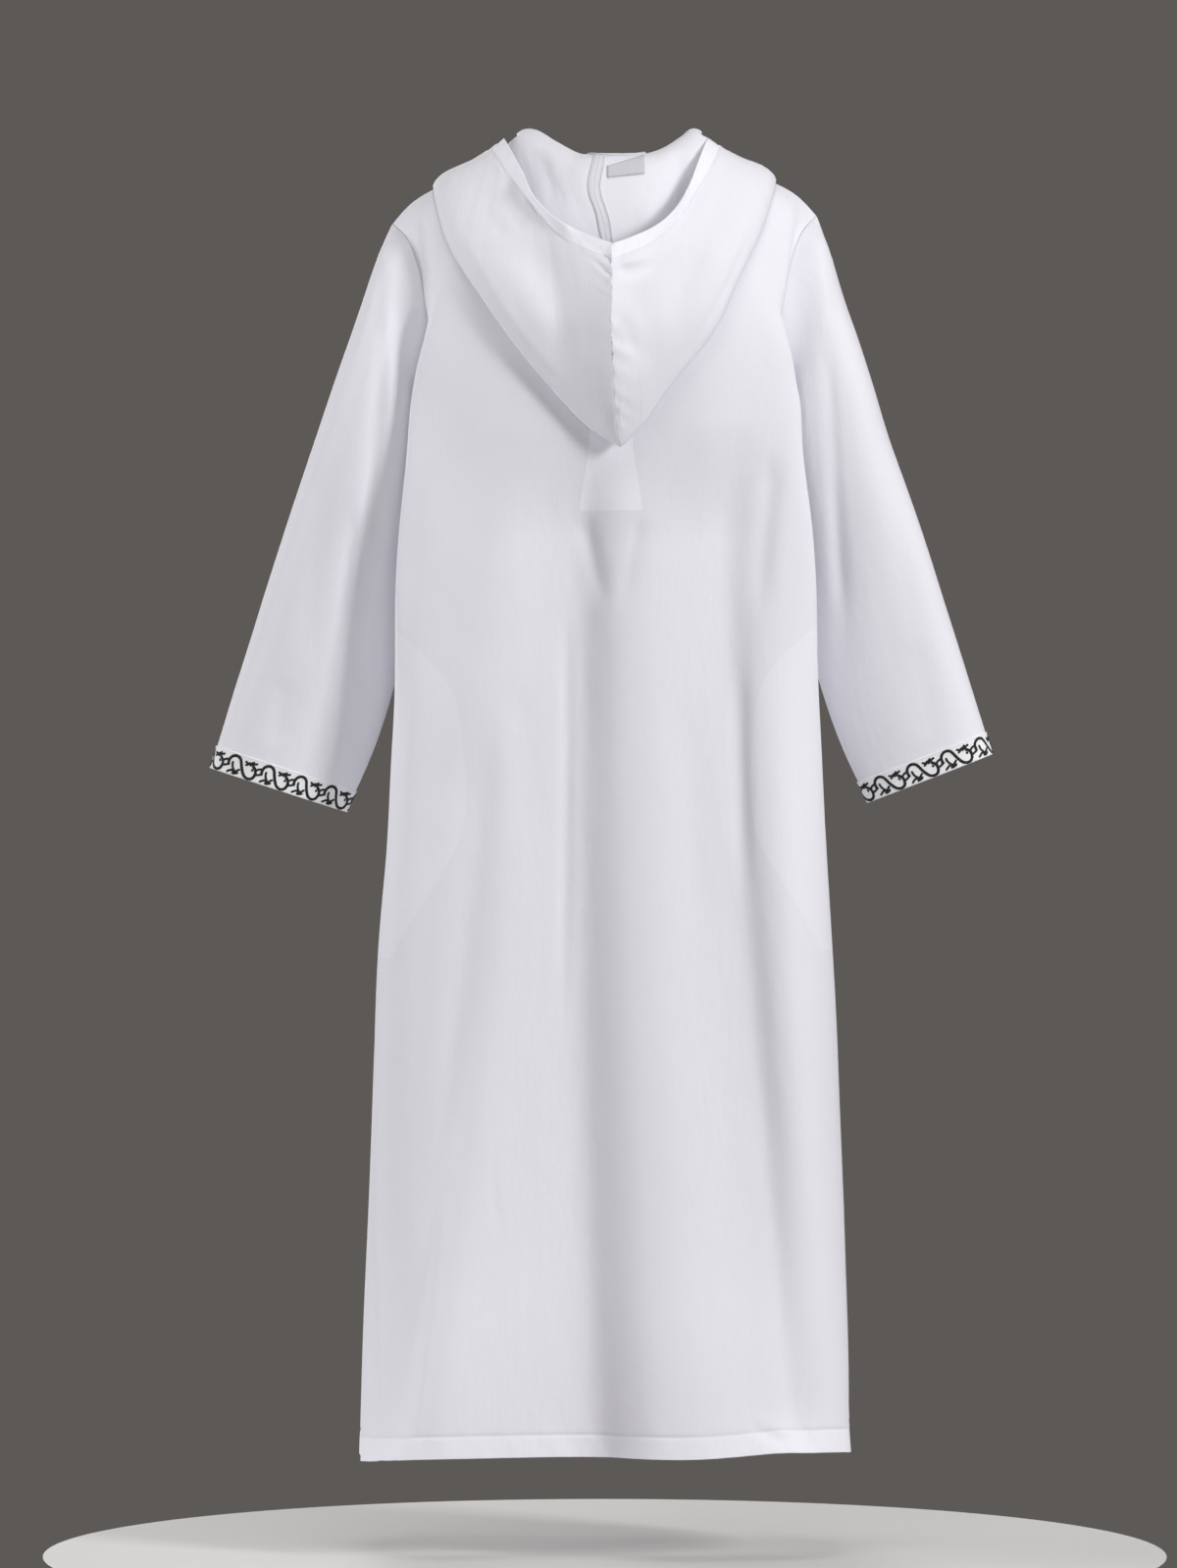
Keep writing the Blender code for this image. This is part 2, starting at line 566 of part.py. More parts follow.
class Ground:
    """What the hood lies on: the panels' points and normals, on a lattice finer than theirs."""

    def __init__(self, grids, normals):
        points, facing = [], []
        for face in FACES:
            rows = np.arange(0, grids[face].shape[0] - 1 + 1e-9, 1 / GROUND_FINENESS)
            columns = np.arange(0, grids[face].shape[1] - 1 + 1e-9, 1 / GROUND_FINENESS)
            row, column = np.meshgrid(rows[rows > SKIRT_STEPS / 2], columns, indexing="ij")
            points.append(read_grid(grids[face], row, column).reshape(-1, 3))
            facing.append(unit(read_grid(normals[face], row, column)).reshape(-1, 3))
        self.points, self.facing = np.concatenate(points), np.concatenate(facing)
        self.tree = kdtree.KDTree(len(self.points))
        for number, point in enumerate(self.points):
            self.tree.insert(point, number)
        self.tree.balance()

    def cleared(self, point, lift):
        """The point, moved out until it stands this far off the cloth."""
        number = self.tree.find(point)[1]
        off = float((point - self.points[number]) @ self.facing[number])
        return point + self.facing[number] * max(0.0, lift - off)

    def above(self, x, z, front, lift):
        """The place on the back or front at this width and height, and its normal."""
        side = self.points[:, 1] > 0 if front else self.points[:, 1] <= 0
        miss = (self.points[:, 0] - x) ** 2 + (self.points[:, 2] - z) ** 2 + ~side * 1e6
        number = int(miss.argmin())
        return self.points[number] + self.facing[number] * lift, self.facing[number]


def neckline(grids, side):
    """Half of the neckline, from the middle of the back to the middle of the front."""
    middle = sum(SPAN_STEPS)
    back, front = grids["back"][-1], grids["front"][-1]
    if side == LEFT:
        return np.concatenate([back[NECK_COLUMN : middle + 1][::-1], front[NECK_COLUMN + 1 : middle + 1]])
    return np.concatenate([back[middle : -NECK_COLUMN], front[middle : -NECK_COLUMN - 1][::-1]])


def along_line(run, line, places):
    """Points of a line of straight pieces at these distances along it."""
    return np.stack([np.interp(places, run, line[:, axis]) for axis in range(3)], axis=-1)


def hood_net(ground, edge, side):
    """The points that half a hood passes through: a row for each station, along the cloth."""
    run = chord_knots(edge[:, None])
    seam = along_line(run, edge, np.linspace(0, run[-1], len(HOOD)))
    rows = []
    for number, (station, start) in enumerate(zip(HOOD, seam)):
        x = side * station.fold_x + station.fold_lean
        low, facing = ground.above(x, station.fold_z, number > SHOULDER_STATION, station.fold_lift)
        crest = np.array((side * station.crest_x + station.crest_lean, station.crest_y, station.crest_z))
        away = unit(crest * (1, 1, 0) - (0, NECK_MIDDLE_Y, 0))
        past_crest = crest + away * PAST_CREST[0] + (0, 0, PAST_CREST[1])
        path = unit(low - past_crest)
        row = [start + (0, 0, NECK_SEAM_GAP), crest, past_crest]
        for share in UNDER_LAYER_SHARES:
            row.append(ground.cleared(past_crest + (low - past_crest) * share, UNDER_LAYER_LIFT))
        turned = path * station.turn
        row.append(ground.cleared(low - turned - facing * station.fold_lift / 2, UNDER_LAYER_LIFT))
        row.append(low)
        row.append(low - turned + facing * station.turn)
        row.append(np.array((side * station.middle_x + station.lean, station.middle_y, station.middle_z)))
        row.append(np.array((side * station.rim_x + station.lean, station.rim_y, station.rim_z)))
        rows.append(row)
    return np.array(rows)


def hood_grid(ground, edge, side):
    """The right side of half a hood: rows round the neck, columns from the neck seam to the rim."""
    net = hood_net(ground, edge, side)
    round_neck = chord_knots(net)
    stations = np.linspace(0, round_neck[-1], HOOD_STATION_STEPS + 1)
    wide = spline(round_neck, net, stations)
    run = chord_knots(edge[:, None])
    shares = np.interp(stations, round_neck, np.linspace(0, run[-1], len(HOOD)))
    wide[:, 0] = along_line(run, edge, shares) + (0, 0, NECK_SEAM_GAP)
    along = chord_knots(np.swapaxes(wide, 0, 1))
    steps = np.append(np.linspace(0, along[-1], HOOD_CLOTH_STEPS + 1), along[1:3])
    steps = np.append(steps, (along[-1] - RIM_HEM_DEPTH, along[-1] - RIM_HEM_DEPTH - HEM_STEP))
    grid = np.swapaxes(spline(along, np.swapaxes(wide, 0, 1), np.sort(steps)), 0, 1)
    for row in grid:
        for column in range(CREST_COLUMN, len(row)):
            row[column] = ground.cleared(row[column], LEAST_LIFT)
    return grid


def hood(grids, normals):
    ground = Ground(grids, normals)
    halves = {side: hood_grid(ground, neckline(grids, side), side) for side in (LEFT, RIGHT)}
    middle = (halves[LEFT][0] + halves[RIGHT][0]) / 2
    facing = {}
    for side, grid in halves.items():
        grid[0] = middle
        facing[side] = normals_of(grid) * side
    share_normals(facing[LEFT][0], facing[RIGHT][0], ALWAYS)
    for side, word in ((LEFT, "left"), (RIGHT, "right")):
        grid = drawn_back(halves[side], first_row=SEAM_GAP / 2)
        thickness = np.full((1, grid.shape[1], 1), CLOTH)
        thickness[:, -HEM_ROWS:] = TURNED_HEM
        wall("hood_" + word, grid, grid - facing[side] * thickness)
    return halves, facing


# What lies inside the cloth


def inside_patch(name, grid, normals, rows, columns, gap, colour=WHITE):
    """A piece on the wrong side of a grid, at these places between its rows and columns."""
    points, facing = read_grid(grid, rows, columns), unit(read_grid(normals, rows, columns))
    near = CLOTH + gap
    return wall(name, points - facing * near, points - facing * (near + TRIM_THICKNESS), colour)


def row_at(grid, column, height):
    """The place between a grid's rows where one of its columns reaches a height."""
    heights = grid[:, column, 2]
    return np.interp(height, heights, np.arange(len(heights)))


def pocket_bags(grids, normals):
    grid, middle = grids["back"], sum(SPAN_STEPS)
    heights = np.linspace(POCKET_BOTTOM, POCKET_TOP, BAG_STEPS[0] + 1)
    reaches = spline([-r.height for r in POCKET_BAG], [r.reach for r in POCKET_BAG], -heights)
    for side, word in ((LEFT, "left"), (RIGHT, "right")):
        rows, columns = [], []
        for height, reach in zip(heights, reaches):
            row = row_at(grid, 0 if side == LEFT else -1, height)
            line = read_grid(grid, np.full(middle + 1, row), np.arange(middle + 1.0))
            run = chord_knots(line[:, None])
            column = np.interp(np.linspace(BAG_SEAM, reach, BAG_STEPS[1] + 1), run, np.arange(middle + 1.0))
            rows.append(np.full(len(column), row))
            columns.append(column if side == LEFT else 2 * middle - column)
        inside_patch(
            "pocket_bag_" + word, grid, normals["back"], np.array(rows), np.array(columns), LINING_GAP
        )


def neck_facing(grids, normals):
    grid, middle = grids["front"], sum(SPAN_STEPS)
    low = row_at(grid, middle, FACING_BOTTOM)
    heights = np.linspace(low, len(grid) - 1 - FACING_TOP_MARGIN, FACING_STEPS[0] + 1)
    rows, columns = [], []
    for row in heights:
        line = read_grid(grid, np.full(middle + 1, row), np.arange(float(middle), 2 * middle + 1))
        run = chord_knots(line[:, None])
        half = np.interp(np.linspace(0, FACING_HALF_WIDTH, FACING_STEPS[1] + 1), run, np.arange(middle + 1.0))
        rows.append(np.full(2 * FACING_STEPS[1] + 1, row))
        columns.append(middle + np.concatenate([-half[:0:-1], half]))
    return inside_patch(
        "neck_facing", grid, normals["front"], np.array(rows), np.array(columns), LINING_GAP
    )


def cut_slit(*pieces):
    """The slit at the front of the neck, cut by one long wedge through the panel and its facing."""
    top = SLIT_TOP
    corners = []
    for z, half in ((SLIT_BOTTOM, SLIT_HALF_WIDTHS[1]), (top, SLIT_HALF_WIDTHS[0])):
        corners += [(x, y, z) for y in SLIT_DEPTHS for x in (-half, half)]
    shape = bmesh.new()
    for corner in corners:
        shape.verts.new(np.array(corner) * MM)
    bmesh.ops.convex_hull(shape, input=shape.verts[:])
    bmesh.ops.recalc_face_normals(shape, faces=shape.faces)
    mesh = bpy.data.meshes.new("slit_cutter")
    shape.to_mesh(mesh)
    shape.free()
    cutter = bpy.data.objects.new("slit_cutter", mesh)
    bpy.data.collections[CUTTERS].objects.link(cutter)
    cutter.hide_render = True
    cutter.display_type = "WIRE"
    for piece in pieces:
        cut = piece.modifiers.new("slit", "BOOLEAN")
        cut.operation = "DIFFERENCE"
        cut.object = cutter


def neck_label(halves, facing):
    """A blank label on the wrong side of the hood, just below the neck seam."""
    grid = halves[RIGHT]
    rows, columns = np.meshgrid(
        np.linspace(*LABEL_STATIONS, LABEL_STEPS[0] + 1),
        np.linspace(*LABEL_CLOTH, LABEL_STEPS[1] + 1),
        indexing="ij",
    )
    inside_patch("neck_label", grid, facing[RIGHT], rows, columns, LABEL_GAP, LABEL_GREY)


def main():
    for obj in list(bpy.data.objects):
        bpy.data.objects.remove(obj, do_unlink=True)
    for name in (COLLECTION, CUTTERS):
        bpy.context.scene.collection.children.link(bpy.data.collections.new(name))
    grids = body_grids()
    normals = {face: panel_normals(grids[face], face) for face in FACES}
    for column in (0, -1):
        below = slice(0, UNDERARM_ROW + 1)
        share_normals(normals["back"][below, column], normals["front"][below, column], ALWAYS)
    for span in (slice(0, NECK_COLUMN + 1), slice(-NECK_COLUMN - 1, None)):
        share_normals(normals["back"][-1, span], normals["front"][-1, span], ALWAYS)
    sleeves(grids, normals)
    body_panels(grids, normals)
    halves, facing = hood(grids, normals)
    neck_label(halves, facing)
    pocket_bags(grids, normals)
    cut_slit(bpy.data.objects["front_panel"], neck_facing(grids, normals))


main()
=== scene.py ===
"""Looks of a hooded djellaba robe: cloth, sewing, cuff embroidery and a plain studio.

Sizes are in millimetres in the robe's own frame and become metres where a mesh is made. +Z is up,
the back of the robe faces -Y, and the wearer's left is at -X. The cloth follows the same named
sections, lines and stations as the robe's solids, in finer steps, and creases are pressed into it.
"""

import math
from collections import namedtuple
from functools import lru_cache

import bpy
import numpy as np
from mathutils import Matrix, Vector, kdtree


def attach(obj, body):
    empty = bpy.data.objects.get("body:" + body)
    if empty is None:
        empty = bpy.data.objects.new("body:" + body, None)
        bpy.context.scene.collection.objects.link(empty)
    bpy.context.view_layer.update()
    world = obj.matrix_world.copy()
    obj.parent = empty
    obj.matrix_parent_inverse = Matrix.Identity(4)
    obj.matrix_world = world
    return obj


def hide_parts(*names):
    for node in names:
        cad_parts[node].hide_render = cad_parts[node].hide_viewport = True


bl_info = {
    "name": "Hooded djellaba robe",
    "version": (1, 0, 0),
    "blender": (4, 5, 0),
    "location": "3D View > Sidebar > Robe",
    "description": "Dresses the robe's solids in cloth, seams, stitching and embroidered cuff trims",
    "category": "Object",
}

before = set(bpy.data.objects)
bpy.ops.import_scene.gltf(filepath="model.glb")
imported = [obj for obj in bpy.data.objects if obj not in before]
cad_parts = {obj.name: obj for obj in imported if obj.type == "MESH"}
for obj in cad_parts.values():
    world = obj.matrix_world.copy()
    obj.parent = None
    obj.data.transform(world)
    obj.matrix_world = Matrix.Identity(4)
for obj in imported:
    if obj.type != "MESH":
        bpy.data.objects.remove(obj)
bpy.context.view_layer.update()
CLOTH_UV = "cloth"
CLOTH_FIELDS = ("doubled", "layers", "seam")

MM = 0.001
BODY = "root"
LEFT, RIGHT = -1, 1
SIDES = ((LEFT, "left"), (RIGHT, "right"))
FACES = ("back", "front")
OUTWARDS = {"back": -1, "front": 1}
EDGE_COLUMN = {LEFT: 0, RIGHT: -1}


def table(kind, *rows):
    """A table's rows as named tuples of one kind."""
    return tuple(kind(*row) for row in rows)


# Lengths that drive the rest, as in the solids
HEM_HEIGHT = -1402.0
HEM_DEPTH = 25.0
HEM_RISE = 13.0
RAISED_RIGHT = 0.036
RAISED_FROM = 70.0
RAISED_OVER = 120.0
UNDERARM_HEIGHT = -332.0
NECK_HALF_WIDTH = 80.0
NECK_BACK = -66.0
NECK_FRONT = 82.0
NECK_SIDE_HEIGHT = -3.0
NECK_BACK_DROP = 13.0
NECK_FRONT_DROP = 85.0
NECK_SEAM_GAP = 0.8
RIM_HEM_DEPTH = 18.0
CUFF_TRIM_DEPTH = 25.0
SLIT_BOTTOM = -330.0
SLIT_HALF_WIDTHS = (2.4, 0.5)
FACING_BOTTOM = -384.0
FACING_HALF_WIDTH = 35.0
POCKET_TOP, POCKET_BOTTOM = -514.0, -862.0
BAG_SEAM = 4.5
SEAM_GAP = 0.3

# Steps of the cloth: between neighbouring lines of a panel from its side to its centre, down the
# skirt, down the yoke, along a sleeve, and round the neck and along the cloth of a hood half. The
# other rows are finer ones beside an edge, by their distance from it.
SPAN_STEPS = (10, 9, 16, 17, 17, 13)
SKIRT_STEPS = 160
YOKE_STEPS = 62
SLEEVE_STEPS = 124
HOOD_STATION_STEPS = 108
HOOD_CLOTH_STEPS = 104
BESIDE_SEAM = (0.8, 2.0)
BESIDE_HEM = (0.7, 2.0, 7.0, 20.5, 22.5, 23.5, 24.5, 25.5, 28.0)
BESIDE_TRIM = (24.3, 25.7)
BESIDE_RIM = (0.7, 2.0, 15.5, 16.6, 17.6, 18.8, 20.5)
SHOULDER_STATION = 6
LEAST_STEP = 0.45

# The skirt, from the hem to the underarm: a row for each level section of the robe. corner is the
# share of the depth at which it is widest, and draw_in is how far the side seam lies inside that,
# where the sleeve hangs between the folds of the back and the front.
Section = namedtuple("Section", "height half_width back front corner draw_in")
SKIRT = table(
    Section,
    (HEM_HEIGHT, 263.5, 136, 148, 0.4, 2),
    (-1250, 258, 134, 146, 0.4, 2),
    (-1097, 252, 132, 143, 0.42, 2),
    (-887, 243, 130, 141, 0.46, 2),
    (-720, 233, 129, 141, 0.52, 5),
    (-600, 227, 128, 141, 0.57, 12),
    (-500, 222, 127, 142, 0.62, 30),
    (-400, 213, 125, 142, 0.66, 44),
    (UNDERARM_HEIGHT, 205.5, 123, 141, 0.66, 41),
)

# Where the lines of a panel cross a level section: the side seam, the hollow beside the arm, the
# fold in front of it, the side, the blade, the nape and the centre. The first two follow from
# draw_in, and the others are shares of the half width and of the depth.
ACROSS = (1, 0.84, 0.54, 0.23, 0)
DEPTH_SHARES = {"back": (0.84, 0.975, 0.985, 0.965), "front": (0.88, 0.99, 1, 0.99)}
HOLLOW_AT = 0.60
HOLLOW_KEEPS = (0.25, 0.88)
DEEP_DRAW_IN = 30.0

# The yoke, from the underarm to the shoulder and neck: a row for each line of a panel. top_ is
# where it ends, a lower fullness turns it over the shoulder sooner, bow moves its middle outwards,
# bulge moves it away from the wearer, and hook leaves that share of its sideways run to the end.
Line = namedtuple("Line", "top_x top_y top_z fullness bow bulge hook")
YOKE = {
    "back": table(
        Line,
        (227, 0, -77, 2, 0, 66, 0.36),
        (214, 0, -62, 2, 0, 34, 0.27),
        (200, 0, -50, 2.6, -20, 12, 0),
        (150, 0, -25, 2.6, 0, 10, 0),
        (NECK_HALF_WIDTH, 0, NECK_SIDE_HEIGHT, 2.6, 0, 12, 0),
        (47, -53.4, -11.5, 2.8, 0, 12, 0),
        (0, NECK_BACK, NECK_SIDE_HEIGHT - NECK_BACK_DROP, 2.8, 0, 10, 0),
    ),
    "front": table(
        Line,
        (227, 0, -77, 2, 0, 62, 0.36),
        (214, 0, -62, 2, 0, 30, 0.27),
        (200, 0, -50, 2.4, -20, 8, 0),
        (150, 0, -25, 2.2, 0, 6, 0),
        (NECK_HALF_WIDTH, 0, NECK_SIDE_HEIGHT, 2.1, 0, 4, 0),
        (51, 63, -54, 2, 0, 3, 0),
        (0, NECK_FRONT, NECK_SIDE_HEIGHT - NECK_FRONT_DROP, 1.9, 0, 3, 0),
    ),
}
YOKE_LEVELS = (0.22, 0.44, 0.64, 0.8, 0.92, 1)

# The large folds of the skirt: a row for each valley, with its place across at three heights.
Fold = namedtuple(
    "Fold", "top bottom x_top x_middle x_bottom width_top width_bottom depth_top depth_bottom skew"
)
FOLDS = {
    "back": table(
        Fold,
        (-290, HEM_HEIGHT, -30, -36, -24, 54, 96, 21, 50, -0.4),
        (-560, -1398, -132, -172, -258, 34, 50, 5, 26, -0.3),
        (-330, -800, -196, -216, -240, 16, 18, 5, 2, -0.2),
        (-290, -1400, 127, 144, 218, 56, 60, 22, 30, -0.4),
    ),
    "front": table(
        Fold,
        (-420, HEM_HEIGHT, -52, -64, -76, 24, 46, 5, 13, 0),
        (-420, HEM_HEIGHT, 56, 66, 72, 24, 48, 5, 13, 0),
        (-560, HEM_HEIGHT, -150, -168, -182, 20, 36, 5, 10, 0),
        (-520, HEM_HEIGHT, 148, 166, 184, 20, 34, 5, 10, 0),
    ),
}
FOLD_FADE = 130.0
SEAM_FADE = 40.0
HOOK_POWER = 12
ARMHOLE_ROUNDNESS = 0.55
BOW_LATENESS = 1.6

# The sleeve below its armhole: a row for each ring, given by its outer and inner ends.
Ring = namedtuple("Ring", "outer_x outer_z inner_x inner_z middle_y half_depth")
SLEEVE = table(
    Ring,
    (238.5, -103, 166.5, -341, -2, 62),
    (257, -157, 169, -353, 0, 64),
    (281, -228, 174, -374, 2, 62),
    (304.5, -298, 182, -407, 4, 58),
    (335.5, -390, 195, -452, 8, 53),
    (368, -490, 217, -541, 13, 46),
    (396, -579, 243, -629, 18, 40),
    (421, -660, 277, -707, 22, 36),
)
RIGHT_OUTER_SHIFT = 6.0
RIGHT_CUFF_SHIFT = 5.5
SHIFTED_RINGS = 4
UNDERARM_PINCH = 0.45
SLEEVE_FULLNESS = 2.9
SLEEVE_BACKWARDS = 13.0
FRONT_CREASE_DROPS = (22, 30, 26)
SLEEVE_TURN = {LEFT: 0.13, RIGHT: 0.0}
HANG_RINGS = 4

# The hood as it hangs: a row for each station from the centre of the back round to the front, for
# one half. crest_ is where the cloth turns down from the neck, fold_ the lower edge of the bag,
# rim_ the edge of the hood's mouth, and middle_y how far back the outer layer swells.
Station = namedtuple(
    "Station",
    "crest_x crest_y crest_z crest_lean fold_x fold_z fold_lean fold_lift turn "
    "middle_x middle_y middle_z rim_x rim_y rim_z lean",
)
HOOD = table(
    Station,
    (0, -73, -10, -4, 0, -322.5, 19, 16, 7, 0, -190, -214, 0, -168, -110, 8),
    (18, -72, -10, 4, 28, -300, 11, 15, 7, 18, -178, -198, 21, -158, -102, 8),
    (35, -68, -9, 10, 62, -261, 6, 13, 7, 42, -164, -176, 44, -147, -91, 7),
    (53, -60, -2, 13, 102, -211, 5, 12, 7, 70, -148, -145, 65, -134, -75, 6),
    (70, -48, 9, 12, 139, -153, 0, 10, 6, 98, -127, -104, 82, -113, -51, 5),
    (84, -30, 20, 9, 167, -94, -2, 6.5, 4.5, 126, -86, -53, 96, -82, -18, 3),
    (90, -6, 21, 5, 181, -41.5, 0, 4.5, 2.5, 145, -20, -11, 110, -22, 14, 1),
    (84, 20, 12, 3, 168, -64, 0, 5, 4, 138, 50, -32, 104, 42, 2, 0),
    (70, 47, -12, 0, 132, -88, 0, 7, 5, 112, 88, -58, 84, 76, -24, 0),
    (49, 68, -41, 0, 88, -108, 0, 8, 6, 74, 112, -86, 56, 96, -55, 0),
    (27, 80, -64, 0, 44, -118, 0, 8, 6, 38, 118, -104, 29, 103, -76, 0),
    (7, 85, -78, 0, 12, -112, 0, 7, 5, 10, 110, -104, 8, 100, -88, 0),
)
UNDER_LAYER_LIFT = 4.5
LEAST_LIFT = 3.0
PAST_CREST = (10, -4)
NECK_MIDDLE_Y = 8.0
UNDER_LAYER_SHARES = (0.3, 0.62, 0.86)

# The pocket bags, by how far each reaches from the side seam along the cloth.
BagRow = namedtuple("BagRow", "height reach")
POCKET_BAG = table(
    BagRow,
    (POCKET_TOP, 96),
    (-555, 140),
    (-632, 163),
    (-680, 167),
    (-745, 158),
    (-800, 128),
    (-838, 104),
    (POCKET_BOTTOM, 88),
)

# Creases pressed into the cloth: a row for each, by three places along it in width and height.
# depth is a trough's and below 0 a ridge's, and lip is the height of the roll on its upper side.
Crease = namedtuple("Crease", "x0 z0 x1 z1 x2 z2 half_width depth lip")
CREASES = {
    "back": table(
        Crease,
        (-196, -62, -192, -108, -189, -165, 7, 2.6, 0.8),
        (210, -68, 205, -118, 200, -175, 7, 2.6, -0.6),
        (180, -325, 171, -398, 160, -520, 11, 3.6, 0.8),
        (-41, -470, -41, -690, -46, -950, 6, 1.6, 0.5),
        (-26, -392, -13, -434, 2, -500, 9, 2.8, 0),
        (40, -392, 29, -434, 18, -500, 9, 2.8, 0),
        (141, -540, 143, -656, 147, -800, 9, 2.4, 0.6),
        (-118, -1060, -116, -1110, -113, -1160, 4, 0.8, 0.3),
        (-100, -560, -84, -640, -78, -760, 20, 1.8, 0),
        (78, -560, 92, -700, 98, -860, 18, 1.5, 0),
        (-255, -1368, -248, -1384, -240, -1400, 3.5, 1.8, 0.8),
        (150, -1350, 176, -1366, 205, -1374, 5, 1.6, 0.7),
        (-212, -120, -205, -170, -198, -230, 9, 1.6, 0),
        (215, -150, 209, -220, 203, -280, 9, 1.6, 0),
    ),
    "front": table(
        Crease,
        (-192, -66, -187, -115, -182, -190, 8, 2.6, 0.7),
        (195, -64, 190, -118, 186, -184, 8, 2.4, -0.6),
        (-96, -150, -70, -232, -62, -330, 12, 2.2, 0),
        (92, -140, 74, -226, 60, -350, 12, 2.4, 0),
        (-30, -395, -18, -450, -8, -530, 9, 2.4, 0.4),
        (26, -395, 20, -460, 12, -560, 9, 2, 0),
        (-172, -420, -160, -520, -150, -640, 12, 3, 0.6),
        (168, -400, 161, -500, 152, -600, 12, 2.6, 0.6),
        (-20, -760, -16, -920, -6, -1120, 16, 2.4, 0),
        (112, -800, 118, -960, 124, -1150, 14, 2.2, 0),
        (-120, -900, -112, -1010, -108, -1120, 12, 2, 0.5),
        (214, -1330, 222, -1356, 236, -1380, 6, 1.6, 0.6),
    ),
    "sleeve_left": table(
        Crease,
        (-232, -170, -246, -343, -262, -560, 9, 3.2, 0.9),
        (-300, -330, -309, -430, -322, -560, 14, 1.8, 0),
        (-266, -370, -271, -450, -281, -540, 8, 1.8, 0.5),
        (-238, -112, -241, -160, -246, -215, 8, 2.4, 0.9),
        (-222, -84, -233, -112, -246, -128, 6, 1.6, 0.6),
        (-340, -560, -344, -600, -352, -640, 12, 1.4, 0),
    ),
    "sleeve_right": table(
        Crease,
        (236, -190, 244, -330, 258, -560, 9, 3.4, -0.9),
        (292, -240, 312, -385, 338, -560, 16, 1.8, 0),
        (240, -330, 246, -420, 254, -500, 6, 1.6, -0.5),
        (236, -100, 243, -150, 250, -200, 8, 2, -0.7),
        (222, -80, 232, -104, 244, -116, 6, 1.4, -0.5),
        (330, -520, 342, -580, 352, -640, 14, 1.4, 0),
    ),
    "hood_outer": table(
        Crease,
        (-104, -20, -83, -58, -50, -94, 9, 3.6, 1.4),
        (-130, -64, -116, -86, -102, -104, 7, 1.2, 0.6),
        (112, -24, 78, -82, 34, -128, 8, 3, 1),
        (14, -124, 27, -140, 60, -122, 6, 3, 1.8),
        (86, -90, 58, -124, 26, -165, 12, -1.8, 0),
        (164, -70, 122, -166, 62, -252, 5, 1.6, 1.2),
        (-160, -90, -104, -196, -32, -272, 6, 1.4, 0.8),
        (-84, -100, -50, -165, -24, -262, 18, 4, 0),
        (36, -150, 40, -200, 36, -250, 14, 2.2, 0),
        (-120, -110, -88, -160, -54, -214, 14, -1.6, 0),
        (106, -110, 84, -150, 62, -196, 9, 1.4, 0.6),
        (19, -188, 25, -204, 33, -226, 7, 2.6, 0.5),
    ),
    "hood_under": table(
        Crease,
        (-76, 4, -62, -30, -40, -84, 9, 1.5, 0.5),
        (-46, -14, -40, -42, -24, -92, 9, 1, 0.3),
        (84, -6, 70, -32, 40, -82, 9, 2.4, 0.8),
        (52, -42, 40, -60, 20, -90, 6, 1.6, 0.6),
    ),
}
# Small puckers beside the seam down the hood's outer side: how far below the rim each leaves the
# seam, how far it reaches and drops, and its size. side is the half of the hood that it is in.
Pucker = namedtuple("Pucker", "side below reach drop half_width depth")
SEAM_PUCKERS = table(
    Pucker,
    (LEFT, 22, 26, -10, 3.4, 3.1),
    (LEFT, 38, 22, -8, 3, 2.7),
    (LEFT, 52, 20, -5, 2.8, 2.1),
    (LEFT, 66, 15, -4, 2.6, 1.7),
    (LEFT, 108, 30, 5, 3.6, 3.6),
    (LEFT, 124, 16, 4, 3, 2.1),
    (LEFT, 146, 22, 4, 3.4, 2.8),
    (LEFT, 168, 18, 8, 3.2, 2.5),
    (LEFT, 188, 13, 9, 3, 2.7),
    (RIGHT, 21, 30, -6, 4, 3.6),
    (RIGHT, 44, 16, -6, 3, 2),
    (RIGHT, 84, 18, 2, 3.2, 2.1),
    (RIGHT, 104, 26, 16, 4, 3.9),
    (RIGHT, 128, 22, 12, 3.6, 2.8),
    (RIGHT, 154, 16, 10, 3.2, 2.5),
    (RIGHT, 176, 18, 12, 3.4, 3.6),
    (RIGHT, 192, 12, 9, 3, 3.1),
)

# One repeat of the cuff's scroll, as strokes of cord in shares of a repeat and of its height.
SCROLL_WIDTH = 38.0
SCROLL = {
    "loops": (
        (-5.3, 9.6), (-6.2, 15), (-4.4, 19.4), (0, 21.8), (4.8, 20.4), (7.4, 16.3), (9.3, 11.8),
        (11.7, 7.4), (14.8, 3.6), (19, 1.9), (23.1, 3), (25.4, 6.8), (25.4, 11), (23.4, 14.3),
        (20.3, 16.4),
    ),
    "upper link": ((24.9, 12.4), (27.7, 15), (32.2, 16.2)),
    "lower link": ((25.6, 8.2), (29.1, 9.1), (33, 11.4)),
    "inner hook": ((-1.4, 15.2), (-1.1, 11.7), (0.4, 8.3), (2.6, 5.8)),
    "lower sprig": ((-5.6, 2.5), (-2.9, 4.4), (-0.4, 5.7), (2.6, 5.2), (5.7, 6.7), (8.3, 9.2)),
    "lower leaf": ((0.4, 2.9), (3.9, 3), (7.6, 5.1)),
    "upper sprig": ((11.5, 19.6), (14.7, 17.8), (18.3, 18.8), (21.4, 21)),
    "upper leaf": ((17, 15.9), (20.3, 18), (25.4, 20.2)),
    "stem": ((12.4, 15), (14.9, 16.6), (17.4, 19.6)),
    "tick": ((21, 13.4), (21.5, 10.6)),
}

